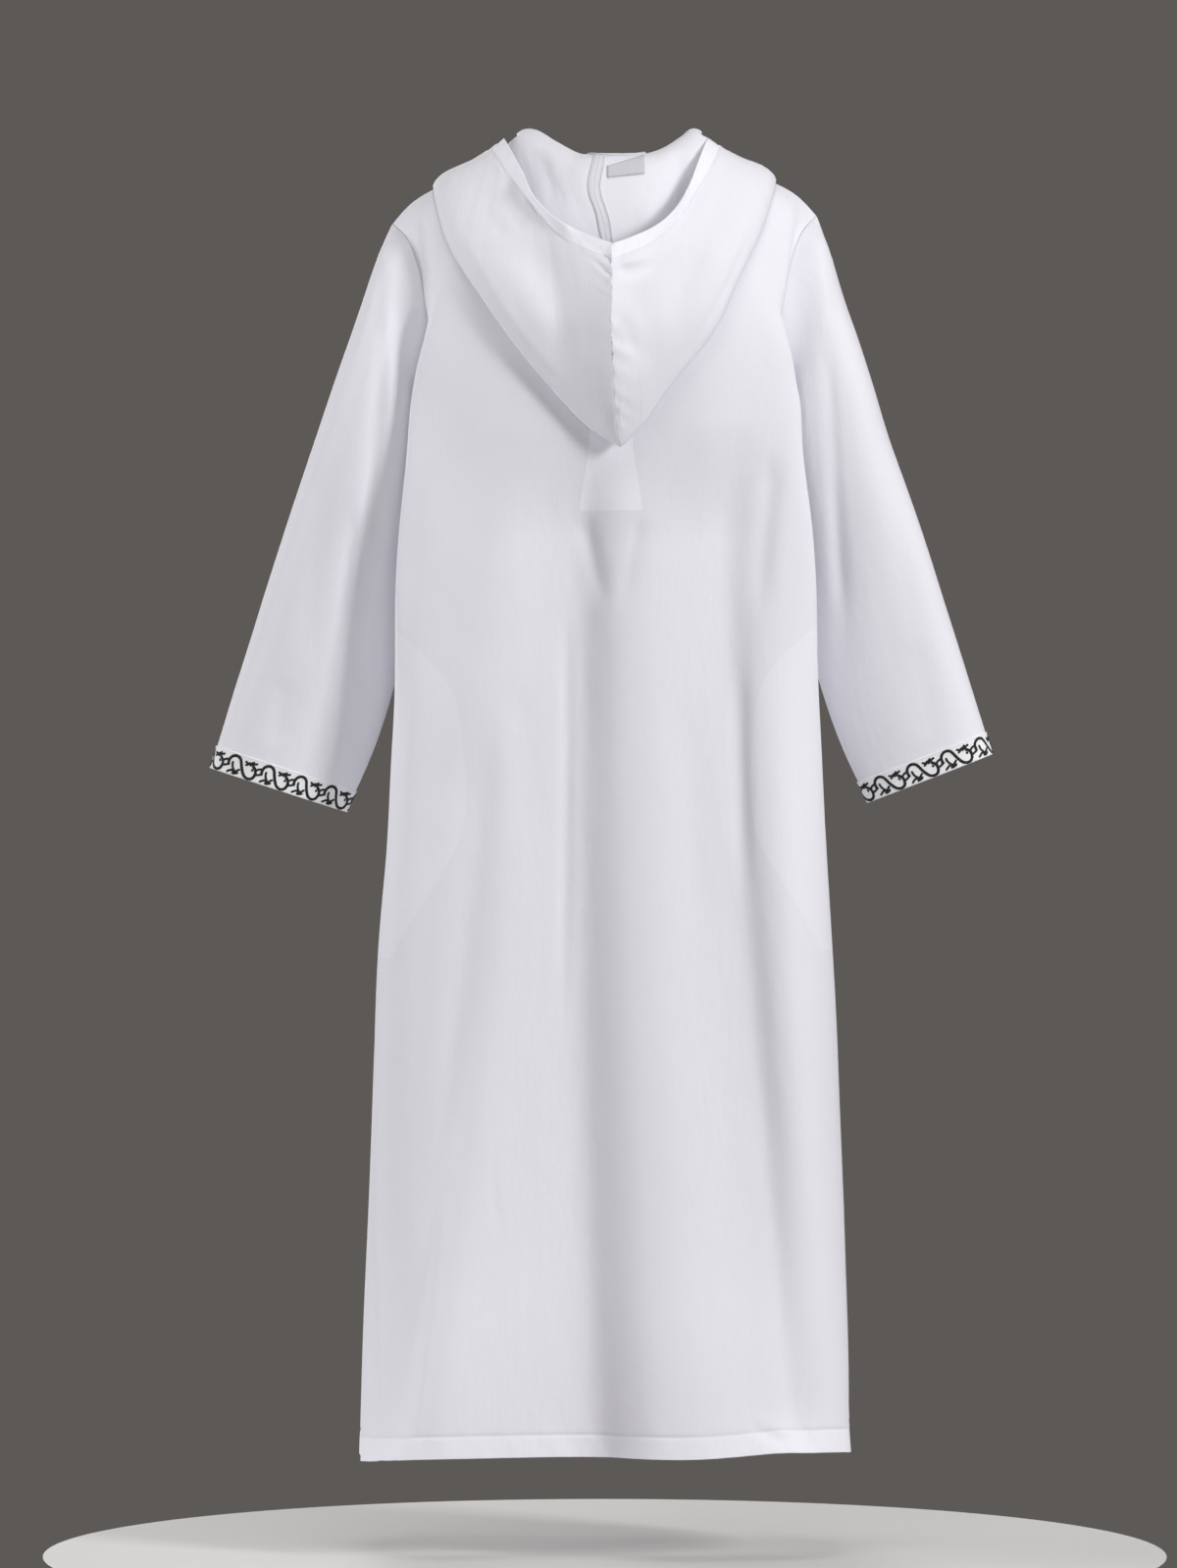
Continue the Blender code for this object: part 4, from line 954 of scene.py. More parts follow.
class HoodHalf:
    """Half a hood's right side: rows round the neck from its seam, columns from neck to rim."""

    def __init__(self, body, ground, side, word):
        edge = body.neckline(side)
        net = hood_net(ground, edge, side)
        round_neck = chord_knots(net)
        stations = np.linspace(0, round_neck[-1], HOOD_STATION_STEPS + 1)
        stations = with_finer(stations, BESIDE_SEAM + (3.4,))
        wide = spline(round_neck, net, stations)
        run = line_run(edge)
        shares = np.interp(stations, round_neck, np.linspace(0, run[-1], len(HOOD)))
        wide[:, 0] = along_line(run, edge, shares) + (0, 0, NECK_SEAM_GAP)
        self.side, self.word, self.ground = side, word, ground
        self.wide, self.from_seam = np.swapaxes(wide, 0, 1), stations
        self.along = chord_knots(self.wide)

    def fill(self, share_steps):
        """Works out the cloth at these shares of the way from the neck to the rim."""
        self.steps = share_steps * self.along[-1]
        self.grid = np.swapaxes(spline(self.along, self.wide, self.steps), 0, 1)
        self.crest = int(np.searchsorted(self.steps, self.along[2]))
        self.clear()

    def clear(self):
        for row in self.grid:
            for column in range(self.crest, len(row)):
                row[column] = self.ground.cleared(row[column], LEAST_LIFT)

    def measure(self):
        """Where each point is: down the cloth, up from the rim, out from the seam, past the fold."""
        self.down = run_of(self.grid, 1)
        self.from_rim = self.down[:, -1:] - self.down
        self.out = run_of(self.grid, 0)
        lowest = self.grid[..., 2].argmin(axis=1)
        at_fold = self.down[np.arange(len(lowest)), lowest][:, None]
        self.past_fold = self.down - at_fold

    def bend_seam(self):
        """The under layer's seam swings a little to the left below the neck."""
        inside = smoothstep(-self.past_fold / 30)
        z, x = self.grid[..., 2], self.grid[..., 0]
        swing = bell((z + SWING_HEIGHT) / SWING_HALF_HEIGHT) * bell(x / 42)
        self.grid[..., 0] -= SWING * swing * inside * smoothstep((self.down - 8) / 16)

    def press(self):
        """The creases of both layers, the seam's puckers and the pulled line of the rim's hem."""
        facing = normals_of(self.grid) * self.side
        outer = smoothstep((self.past_fold - 4) / 14)
        under = smoothstep((-self.past_fold - 6) / 14) * smoothstep((self.down - 10) / 14)
        back = smoothstep((24 - self.grid[..., 1]) / 30)
        seen = raised(self.grid)
        move = pressed(seen, CREASES["hood_outer"]) * outer * back
        move -= pressed(seen, CREASES["hood_under"]) * under * back
        off_seam = smoothstep(self.out / 20)
        off_neck = smoothstep((self.down - 16) / 24)
        uneven = ripple(self.out, self.down, "hood_" + self.word)
        move += HOOD_UNEVENNESS * uneven * off_seam * off_neck
        for pucker in SEAM_PUCKERS:
            if pucker.side != self.side:
                continue
            below = self.from_rim - pucker.below
            slant = below - pucker.drop * (self.out / pucker.reach)
            fade = bell(self.out / pucker.reach) * outer
            wide = pucker.half_width * (1 + 0.5 * self.out / pucker.reach)
            trough = bell(slant / wide)
            lip = 0.45 * bell((slant - 1.6 * wide) / wide)
            move += pucker.depth * (lip - trough) * fade
        if self.side == LEFT:
            turned = smoothstep((self.out - 42) / 18) * smoothstep((150 - self.out) / 28)
            move += RIM_TURN * turned * smoothstep(1 - self.from_rim / RIM_HEM_DEPTH) * outer
        roll = SEAM_ROLL[self.side] * bell(self.out / 2.4) * outer
        line = RIM_PULL * bell((self.from_rim - RIM_HEM_DEPTH + 0.8) / 1.3)
        wrinkle = ripple(self.out + 0.9 * self.from_rim, self.out, "rim")
        line = line - RIM_PUCKER * wrinkle * bell((self.from_rim - RIM_HEM_DEPTH) / 9)
        move += roll * smoothstep(self.from_rim / 3) - line * smoothstep(self.from_rim / 3)
        self.grid = self.grid + facing * move[..., None]


class Hood:
    """Both halves of the hood, joined along the seam over its middle."""

    def __init__(self, body):
        ground = Ground(body)
        self.halves = {side: HoodHalf(body, ground, side, word) for side, word in SIDES}
        length = np.mean([half.along[-1] for half in self.halves.values()])
        steps = with_finer(np.linspace(0, length, HOOD_CLOTH_STEPS + 1), (), BESIDE_RIM)
        for half in self.halves.values():
            half.fill(steps / length)
        self.join()
        for half in self.halves.values():
            half.measure()
            half.bend_seam()
            half.press()
            half.clear()
        self.join()
        for half in self.halves.values():
            half.measure()
            half.normals = normals_of(half.grid) * half.side
        share_normals(self.halves[LEFT].normals[0], self.halves[RIGHT].normals[0])

    def join(self):
        left, right = self.halves[LEFT].grid, self.halves[RIGHT].grid
        left[0] = right[0] = (left[0] + right[0]) / 2


Robe = namedtuple("Robe", "body sleeves hood")


@lru_cache
def robe():
    """Every cloth piece's right side, worked out once."""
    body = Body()
    sleeves = {side: Sleeve(body, side, word) for side, word in SIDES}
    return Robe(body, sleeves, Hood(body))


# Meshes


def placed(name, data):
    """A new object in the scene."""
    obj = bpy.data.objects.new(name, data)
    bpy.context.scene.collection.objects.link(obj)
    return obj


def mesh_of(name, points, quads, uv_of_loops, fields):
    """A mesh object of four-sided faces in metres, with a UV map in metres of cloth."""
    used, first = np.unique(quads, return_inverse=True)
    quads = first.reshape(quads.shape)
    mesh = bpy.data.meshes.new(name)
    mesh.vertices.add(len(used))
    mesh.vertices.foreach_set("co", (points[used] * MM).astype(np.float32).ravel())
    mesh.loops.add(quads.size)
    mesh.loops.foreach_set("vertex_index", quads.ravel().astype(np.int32))
    mesh.polygons.add(len(quads))
    mesh.polygons.foreach_set("loop_start", np.arange(0, quads.size, 4, dtype=np.int32))
    mesh.polygons.foreach_set("loop_total", np.full(len(quads), 4, dtype=np.int32))
    mesh.polygons.foreach_set("use_smooth", np.ones(len(quads), dtype=bool))
    mesh.uv_layers.new(name=CLOTH_UV)
    mesh.uv_layers[CLOTH_UV].data.foreach_set("uv", (uv_of_loops * MM).astype(np.float32).ravel())
    for field, values in fields.items():
        layer = mesh.attributes.new(field, "FLOAT", "POINT")
        layer.data.foreach_set("value", values[used].astype(np.float32))
    mesh.update(calc_edges=True)
    return placed(name, mesh)


def corners(grid):
    """The four corners of each cell of a grid."""
    return np.stack([grid[:-1, :-1], grid[:-1, 1:], grid[1:, 1:], grid[1:, :-1]], axis=2)


def shell(name, outer, inner, uv, fields=None, tube=False, split=None):
    """A closed piece of cloth: its right side, its wrong side and the edges between them.

    split is the column and first row of a slit: the column after it stands on the slit's other
    lip from that row up, and below it both are one.
    """
    rows, columns = outer.shape[:2]
    count = rows * columns
    number = np.arange(count).reshape(rows, columns)
    keep = np.ones((rows - 1, columns - 1 + tube), dtype=bool)
    place = number
    if split:
        column, first_row = split
        number = number.copy()
        number[: first_row + 1, column + 1] = number[: first_row + 1, column]
        keep[:, column] = False
    if tube:
        number = wrapped(number)
        place = np.arange(rows * (columns + 1)).reshape(rows, columns + 1)
    quads, places = corners(number)[keep], corners(place)[keep]
    points, wrong = raised(outer).reshape(-1, 3), raised(inner).reshape(-1, 3)
    a, b, c = (points[quads[:, k]] for k in (0, 1, 2))
    if (np.cross(b - a, c - a) * (a - wrong[quads[:, 0]])).sum() < 0:
        quads, places = quads[:, ::-1], places[:, ::-1]
    ends = np.stack([quads, np.roll(quads, -1, axis=1)], axis=-1).reshape(-1, 2)
    end_places = np.stack([places, np.roll(places, -1, axis=1)], axis=-1).reshape(-1, 2)
    low, high = ends.min(axis=1), ends.max(axis=1)
    _, first, times = np.unique(low * count + high, return_index=True, return_counts=True)
    open_edges = first[times == 1]
    i, j = ends[open_edges].T
    u, v = end_places[open_edges].T
    rims = np.stack([j, i, i + count, j + count], axis=-1)
    all_quads = np.concatenate([quads, quads[:, ::-1] + count, rims])
    uv_flat = uv.reshape(-1, 2)
    loops = np.concatenate([places, places[:, ::-1], np.stack([v, u, u, v], axis=-1)])
    doubled = {key: np.tile(values.ravel(), 2) for key, values in (fields or {}).items()}
    return mesh_of(name, np.concatenate([points, wrong]), all_quads, uv_flat[loops.ravel()], doubled)


def cloth_uv(across, up):
    return np.stack(np.broadcast_arrays(across, up), axis=-1).astype(float)


def one_layer(seam):
    """The fields of cloth with nothing behind it, by its distance from a seam."""
    return {"doubled": seam * 0 - 50, "layers": seam * 0, "seam": seam}


def slit_open(grids, column, first_row):
    """Grids with this column twice, and the two lips of the first grid parted above its first row."""
    grids = [np.insert(grid, column + 1, grid[:, column], axis=1) for grid in grids]
    z = grids[0][first_row:, column, 2]
    up = (z - z[0]) / (z[-1] - z[0])
    half = SLIT_HALF_WIDTHS[1] + (SLIT_HALF_WIDTHS[0] - SLIT_HALF_WIDTHS[1]) * up
    half[0] = 0
    grids[0][first_row:, column, 0] -= half
    grids[0][first_row:, column + 1, 0] += half
    return grids


def drawn_back(grid, first_row=0.0, last_row=0.0, columns=0.0):
    """A grid with its edges moved in along the cloth, for the gap at a seam."""
    grid = grid.copy()
    grid[0] += unit(grid[1] - grid[0]) * first_row
    grid[-1] += unit(grid[-2] - grid[-1]) * last_row
    grid[:, 0] += unit(grid[:, 1] - grid[:, 0]) * columns
    grid[:, -1] += unit(grid[:, -2] - grid[:, -1]) * columns
    return grid


class Threads:
    """Many cords or stitches that become one mesh."""

    def __init__(self):
        self.points, self.quads, self.uvs, self.count = [], [], [], 0

    def add(self, path, up, width, height, sides, twist=0.0, pitch=1.0):
        """A flattened cord whose middle follows a path, narrower at its ends."""
        way = unit(np.gradient(path, axis=0))
        across = unit(np.cross(way, up))
        run, rows = line_run(path), len(path)
        angle = 2 * math.pi * np.arange(sides) / sides
        swell = 1 + twist * np.cos(angle * 2 - 2 * math.pi * run[:, None] / pitch)
        swell[[0, -1]] *= CORD_END
        wide, tall = np.cos(angle) * width / 2, np.sin(angle) * height / 2
        ring = across[:, None] * wide[:, None] + unit(np.cross(across, way))[:, None] * tall[:, None]
        rings = path[:, None] + ring * swell[..., None]
        number = wrapped(np.arange(rows * sides).reshape(rows, sides) + self.count)
        uv = cloth_uv(run[:, None], np.linspace(0, 1, sides + 1)[None, :] * width * 2.4)
        outwards = [0, 3, 2, 1]
        self.quads.append(corners(number)[:, :, outwards].reshape(-1, 4))
        self.uvs.append(corners(uv)[:, :, outwards].reshape(-1, 2))
        for ring, step in ((number[0, :sides], 1), (number[-1, :sides], -1)):
            for k in range(1, sides - 2, 2):
                self.quads.append(ring[[0, k, k + 1, k + 2]][None, ::step])
                self.uvs.append(np.zeros((4, 2)))
        self.points.append(rings.reshape(-1, 3))
        self.count += rows * sides

    def stitches(self, path, up, sewing):
        """A row of single stitches along a path, each a short thread that dips at both ends."""
        run = line_run(path)
        count = max(1, int(round(run[-1] / sewing.pitch)))
        share = sewing.length / sewing.pitch
        rise = np.array(STITCH_RISES)[:, None] * sewing.height + sewing.lift
        for start in (np.arange(count) + 0.5) * run[-1] / count:
            at = np.array([start + place * share * run[-1] / count for place in STITCH_PLACES])
            points, facing = along_line(run, path, at), unit(along_line(run, up, at))
            self.add(points + facing * rise, facing, sewing.width, sewing.height, sides=4)

    def make(self, name):
        points, quads, uvs = map(np.concatenate, (self.points, self.quads, self.uvs))
        return mesh_of(name, raised(points), quads, uvs, {})


# Finishes


class Tree:
    """Places nodes and wires them: an input is given a value or another node's output."""

    def __init__(self, tree):
        self.tree = tree

    def add(self, kind, inputs=None, **settings):
        node = self.tree.nodes.new(kind)
        for setting, value in settings.items():
            setattr(node, setting, value)
        for socket, value in (inputs or {}).items():
            if isinstance(value, bpy.types.NodeSocket):
                self.tree.links.new(value, node.inputs[socket])
            else:
                node.inputs[socket].default_value = value
        return node

    def sum(self, operation, *values, clamp=False):
        inputs = dict(enumerate(values))
        return self.add("ShaderNodeMath", inputs, operation=operation, use_clamp=clamp).outputs[0]

    def times(self, first, second):
        return self.sum("MULTIPLY", first, second)

    def mixed(self, value, gain, base):
        """The value times a gain, plus a base."""
        return self.sum("MULTIPLY_ADD", value, gain, base)

    def scaled(self, vector, factor):
        inputs = {0: vector, "Scale": factor}
        return self.add("ShaderNodeVectorMath", inputs, operation="SCALE").outputs[0]

    def weave_map(self):
        return self.add("ShaderNodeUVMap", uv_map=CLOTH_UV).outputs[0]

    def bump(self, height, strength, distance, **before):
        """A normal bent by a height in metres, after another one's Normal if that is given."""
        inputs = {"Strength": strength, "Distance": distance, "Height": height, **before}
        return self.add("ShaderNodeBump", inputs).outputs[0]

    def noise(self, vector, size, detail=2.0, roughness=0.5, stretch=(1, 1, 1)):
        """Noise whose marks are about this size in metres, stretched along an axis."""
        scale = tuple(1 / (size * s) for s in stretch)
        placed = self.add("ShaderNodeVectorMath", {0: vector, 1: scale}, operation="MULTIPLY")
        inputs = {"Vector": placed.outputs[0], "Scale": 1.0, "Detail": detail, "Roughness": roughness}
        return self.add("ShaderNodeTexNoise", inputs).outputs["Fac"]


def plain_weave(tree, given):
    """Threads over and under each other, in squares of the thread spacing."""
    turns = tree.sum("DIVIDE", math.pi, given["Thread spacing"])
    split = tree.add("ShaderNodeSeparateXYZ", {0: given["Vector"]}).outputs
    waves = [tree.sum("SINE", tree.times(split[axis], turns)) for axis in (0, 1)]
    return {"Height": tree.mixed(tree.times(*waves), 0.5, 0.5)}


def cloth_tone(tree, given):
    """The small differences of tone between threads, and wide ones from washing and wear."""
    warp = tree.noise(given["Vector"], 0.0022, 3.0, stretch=(1, 16, 1))
    weft = tree.noise(given["Vector"], 0.0022, 3.0, stretch=(16, 1, 1))
    threads = tree.sum("SUBTRACT", tree.sum("ADD", warp, weft), 1.0)
    wide = tree.sum("SUBTRACT", tree.noise(given["Vector"], 0.16, 3.0), 0.5)
    tone = tree.mixed(threads, given["Slubs"], 1.0)
    return {"Tone": tree.mixed(wide, given["Washing"], tone)}


def doubled_cloth(tree, given):
    """Where a second layer lies behind the cloth: 1 inside its edge and 0 outside it."""
    low = tree.times(given["Edge"], -1.0)
    ranges = {"Value": given["Distance"], "From Min": low, "From Max": given["Edge"]}
    inside = tree.add("ShaderNodeMapRange", ranges, interpolation_type="SMOOTHSTEP").outputs[0]
    off = tree.sum("DIVIDE", tree.sum("ABSOLUTE", given["Distance"]), 1.6)
    line = tree.sum("SUBTRACT", 1.0, off, clamp=True)
    return {
        "Mask": tree.times(inside, given["Layers"]),
        "Edge line": tree.times(line, given["Layers"]),
    }


def painted_seam_shade(tree, given):
    """Painted shade beside a sewn seam: the cloth is made a little darker where the fold of the seam
    would be in shade.
    """
    near = tree.sum("DIVIDE", given["Distance"], given["Width"])
    return {"Shade": tree.sum("EXPONENT", tree.times(tree.times(near, near), -1.0))}


def fine_creases(tree, given):
    """The small soft creases of washed cloth, longer down the cloth than across it."""
    shrink = tree.sum("DIVIDE", 0.02, given["Size"])
    place = tree.scaled(given["Vector"], shrink)
    broad = tree.noise(place, 0.024, 2.0, stretch=(1, 2.4, 1))
    small = tree.noise(place, 0.007, 3.0, 0.6, stretch=(1, 1.7, 1))
    return {"Height": tree.mixed(small, 0.22, broad)}


def thread_twist(tree, given):
    """The plies of a thread, twisted along it: U runs along the thread and V round it."""
    split = tree.add("ShaderNodeSeparateXYZ", {0: given["Vector"]}).outputs
    along = tree.mixed(split[1], given["Slant"], split[0])
    turn = tree.times(tree.sum("DIVIDE", along, given["Ply length"]), 2 * math.pi)
    return {"Height": tree.mixed(tree.sum("SINE", turn), 0.5, 0.5)}


# Each shared effect, with its inputs' first values. None stands for a vector.
EFFECTS = {
    "Plain weave": (plain_weave, {"Vector": None, "Thread spacing": 0.0005}),
    "Cloth tone": (cloth_tone, {"Vector": None, "Slubs": 0.02, "Washing": 0.02}),
    "Doubled cloth": (doubled_cloth, {"Distance": -50.0, "Layers": 0.0, "Edge": 0.7}),
    "Painted seam shade": (painted_seam_shade, {"Distance": 50.0, "Width": 1.4}),
    "Fine creases": (fine_creases, {"Vector": None, "Size": 0.02}),
    "Thread twist": (thread_twist, {"Vector": None, "Ply length": 0.0009, "Slant": 1.4}),
}
MADE_FINISHES = {}


@lru_cache
def effect(name):
    """A shader node group for one of the effects."""
    build, inputs = EFFECTS[name]
    group = bpy.data.node_groups.new(name, "ShaderNodeTree")
    for socket, default in inputs.items():
        kind = "NodeSocketVector" if default is None else "NodeSocketFloat"
        made = group.interface.new_socket(socket, in_out="INPUT", socket_type=kind)
        if default is not None:
            made.default_value = default
    tree = Tree(group)
    results = build(tree, tree.add("NodeGroupInput").outputs)
    for socket in results:
        group.interface.new_socket(socket, in_out="OUTPUT", socket_type="NodeSocketFloat")
    tree.add("NodeGroupOutput", results)
    return group


def shared(tree, name, inputs):
    """The outputs of an effect, placed in a material's tree with these inputs."""
    return tree.add("ShaderNodeGroup", inputs, node_tree=effect(name)).outputs


def tinted(tree, colour, *factors):
    """A colour times each of the factors."""
    product = factors[0]
    for factor in factors[1:]:
        product = tree.times(product, factor)
    return tree.scaled(tuple(colour), product)


def finish(looks):
    """Makes a finish the first time that its name is asked for, from its shader's inputs."""

    def find(name, *settings):
        if name not in MADE_FINISHES:
            material = MADE_FINISHES[name] = bpy.data.materials.new(name)
            material.use_nodes = True
            material.node_tree.nodes.clear()
            tree = Tree(material.node_tree)
            inputs = {"Sheen Roughness": 0.4, "Specular IOR Level": 0.25, **looks(tree, *settings)}
            shader = tree.add("ShaderNodeBsdfPrincipled", inputs)
            tree.add("ShaderNodeOutputMaterial", {"Surface": shader.outputs[0]})
        return MADE_FINISHES[name]

    return find


@finish
def cloth_finish(tree, settings, shade=1.0, slubs=0.025):
    """White plain-weave cloth, paler where a second layer lies behind it, with painted shade in the
    folds of its seams.
    """
    uv = tree.weave_map()
    doubled, layers, seam = (
        tree.add("ShaderNodeAttribute", attribute_name=field).outputs["Fac"] for field in CLOTH_FIELDS
    )
    tone = shared(tree, "Cloth tone", {"Vector": uv, "Slubs": slubs, "Washing": 0.03})["Tone"]
    behind = shared(tree, "Doubled cloth", {"Distance": doubled, "Layers": layers})
    paler = tree.mixed(behind["Mask"], settings.doubled_gain, 1.0)
    lined = tree.mixed(behind["Edge line"], -0.03, 1.0)
    # Painted shade: the colour is darkened near a seam, as if the seam's fold were in shade.
    painted_shade_near_seam = shared(tree, "Painted seam shade", {"Distance": seam})["Shade"]
    sewn = tree.mixed(painted_shade_near_seam, -settings.painted_seam_shade, shade)
    weave = {"Vector": uv, "Thread spacing": settings.thread_spacing}
    weave = shared(tree, "Plain weave", weave)["Height"]
    creases = shared(tree, "Fine creases", {"Vector": uv, "Size": 0.018})["Height"]
    soft = tree.bump(creases, 0.5, settings.fine_crease_depth)
    return {
        "Base Color": tinted(tree, settings.colour, tone, paler, lined, sewn),
        "Roughness": tree.mixed(weave, 0.06, settings.roughness - 0.03),
        "Sheen Weight": settings.sheen,
        "Normal": tree.bump(weave, 0.35, 0.00006, Normal=soft),
    }


# The finishes of ribbon, label and thread: the effect that gives the relief, the name of its size
# input, how much and how little light it leaves as painted shade in the relief's low parts, the slubs
# and the washing, the sheen and the bump's strength and height.
Relief = namedtuple("Relief", "effect size_of gain least slubs washing sheen strength height")
RIBBED = Relief("Plain weave", "Thread spacing", 0.08, 0.94, 0.03, 0.02, 0.1, 0.6, 0.00012)
SATIN = Relief("Plain weave", "Thread spacing", 0.1, 0.93, 0.08, 0.05, 0.1, 0.5, 0.0001)
TWISTED = Relief("Thread twist", "Ply length", 0.25, 0.82, 0.06, 0.03, 0.15, 0.7, 0.0002)


@finish
def relief_finish(tree, kind, colour, roughness, size):
    """Ribbon, label or thread, with painted shade where its relief is low."""
    uv = tree.weave_map()
    tone = {"Vector": uv, "Slubs": kind.slubs, "Washing": kind.washing}
    tone = shared(tree, "Cloth tone", tone)["Tone"]
    relief = shared(tree, kind.effect, {"Vector": uv, kind.size_of: size})["Height"]
    return {
        # Painted shade: the colour is darker where the relief is low, as if its grooves were in
        # shade.
        "Base Color": tinted(tree, colour, tone, tree.mixed(relief, kind.gain, kind.least)),
        "Roughness": roughness,
        "Sheen Weight": kind.sheen,
        "Normal": tree.bump(relief, kind.strength, kind.height),
    }


@finish
def floor_finish(tree, colour):
    """A pale matt floor with a little grain."""
    place = tree.add("ShaderNodeTexCoord").outputs["Object"]
    tone = tree.mixed(tree.noise(place, 0.35, 3.0), 0.04, 0.98)
    return {"Base Color": tinted(tree, colour, tone), "Roughness": 0.75, "Sheen Weight": 0.0}


def thread_finish(name, colour, roughness=0.6, ply=0.0009):
    return relief_finish(name, TWISTED, colour, roughness, ply)


def dress(obj, material, slot, *nodes):
    """Gives a piece its material and its body, and hides the solid that it replaces. Its slot is not
    used.
    """
    obj.data.materials.append(material)
    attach(obj, BODY)
    if nodes:
        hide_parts(*nodes)
    return obj


# Pieces


def layered(*zones):
    """Signed distance inside the nearest doubled zone, and how much that zone shows."""
    distances = np.stack([np.broadcast_to(d, zones[0][0].shape) for d, _ in zones])
    nearest = distances.argmax(axis=0)
    shows = np.array([amount for _, amount in zones])
    return distances.max(axis=0), shows[nearest]


def bag_reach(heights):
    """How far a pocket bag reaches from the side seam at these heights."""
    rows = np.array(POCKET_BAG)
    return spline(-rows[:, 0], rows[:, 1], -heights.ravel()).reshape(heights.shape)


def panel_fields(body, face):
    """A panel's doubled zones and its distance from its seams."""
    grid = body.grids[face]
    run = run_of(grid, 1)
    z, from_hem = grid[..., 2], body.from_hem[:, None]
    zones = [(HEM_DEPTH - 1 - from_hem + np.zeros_like(z), HEM_SHOWS)]
    if face == "back":
        level = np.clip(z, POCKET_BOTTOM, POCKET_TOP)
        ends = np.minimum(POCKET_TOP - z, z - POCKET_BOTTOM)
        for distance in (run, run[:, -1:] - run):
            zones.append((np.minimum(bag_reach(level) - distance, ends), BAG_SHOWS))
        top, bottom = BEHIND_TOP, BEHIND_BOTTOM
        half = np.interp(-z, [-top.height, -bottom.height], [top.half, bottom.half])
        end = np.minimum(z - bottom.height, top.height + UNDER_HOOD - z)
        zones.append((np.minimum(half - np.abs(grid[..., 0] - BEHIND_MIDDLE), end), FACING_SHOWS))
    else:
        side = np.abs(run - run[:, body.middle, None])
        zones.append((np.minimum(FACING_HALF_WIDTH - side, z - FACING_BOTTOM), FACING_SHOWS))
    doubled, layers = layered(*zones)
    # The distance from the seams sets where the seams' painted shade falls; beside the armholes it is
    # moved off.
    seam = np.minimum(body.from_seam[None, :], body.from_hem[-1] - from_hem)
    seam = seam + ARMHOLE_SHADE_OFF * body.beside_armhole
    return {"doubled": doubled, "layers": layers, "seam": seam + np.zeros_like(z)}


def robe_piece(node, settings, right, thickness, uv, fields, **form):
    """Makes a piece of the robe's cloth in place of its solid."""
    obj = shell("cloth_" + node, right, right - thickness, uv, fields, **form)
    return dress(obj, cloth_finish("robe_cloth", settings), "cloth", node)


def body_panel(face, settings):
    """The back or the front."""
    body = robe().body
    grid, facing, fields = body.grids[face], body.normals[face], panel_fields(body, face)
    thick = np.where(body.from_hem < HEM_DEPTH - 1, TURNED_CLOTH, CLOTH)[:, None, None]
    sink = SEAM_SINK * bell(fields["seam"] / SEAM_SINK_WIDTH)
    sink = sink * np.where(body.beside_armhole, ARMHOLE_SINK_SHARE, 1.0)
    right = drawn_back(grid, last_row=SEAM_GAP / 2, columns=SEAM_GAP / 2) - facing * sink[..., None]
    run = run_of(grid, 1)
    uv = cloth_uv(run - run[:, body.middle, None], body.from_hem[:, None])
    split = None
    if face == "front":
        split = (body.middle, int(round(body.row_at("front", body.middle, SLIT_BOTTOM))))
        right, facing, uv, *parted = slit_open([right, facing, uv, *fields.values()], *split)
        fields = dict(zip(fields, parted))
    robe_piece(face + "_panel", settings, right, facing * thick, uv, fields, split=split)


def sleeve_piece(side, word, settings):
    """A sleeve, doubled where its cuff is turned up."""
    sleeve = robe().sleeves[side]
    rows = sleeve.rows[:, None]
    around = run_of(wrapped(sleeve.grid), 1)
    at_underarm = around[:, sleeve.underarm, None]
    # The distance from the seams sets where the painted seam shade falls, moved off the armhole.
    seam = np.minimum(rows + ARMHOLE_SHADE_OFF, np.abs(around - at_underarm))
    sink = ARMHOLE_SINK_SHARE * SEAM_SINK * bell(rows / SEAM_SINK_WIDTH)
    right = drawn_back(sleeve.grid, first_row=SEAM_GAP / 2) - sleeve.normals * sink[..., None]
    turned = sleeve.rows > sleeve.rows[-1] - CUFF_TRIM_DEPTH
    thick = np.where(turned, TURNED_CLOTH, CLOTH)[:, None, None]
    uv, fields = cloth_uv(around, rows), one_layer(seam[:, :-1])
    obj = robe_piece("sleeve_" + word, settings, right, sleeve.normals * thick, uv, fields, tube=True)


def hood_piece(side, word, settings):
    """Half of the hood, doubled at the hem of its mouth."""
    half = robe().hood.halves[side]
    turned = half.steps > half.steps[-1] - RIM_HEM_DEPTH + 0.6
    thick = np.where(turned, TURNED_CLOTH, CLOTH)[None, :, None]
    outer = smoothstep(half.past_fold / 20 + 0.5)
    sink = HOOD_SINK * bell(half.out / SEAM_SINK_WIDTH) * outer
    right = drawn_back(half.grid, first_row=SEAM_GAP / 2) - half.normals * sink[..., None]
    fields = {
        "doubled": RIM_HEM_DEPTH - half.from_rim,
        "layers": np.full(half.out.shape, RIM_SHOWS),
        # The seam field sets where the painted seam shade falls, moved off the outer seam.
        "seam": np.minimum(half.out + outer * ARMHOLE_SHADE_OFF, half.down + 1),
    }
    uv = cloth_uv(half.out, half.down)
    obj = robe_piece("hood_" + word, settings, right, half.normals * thick, uv, fields)


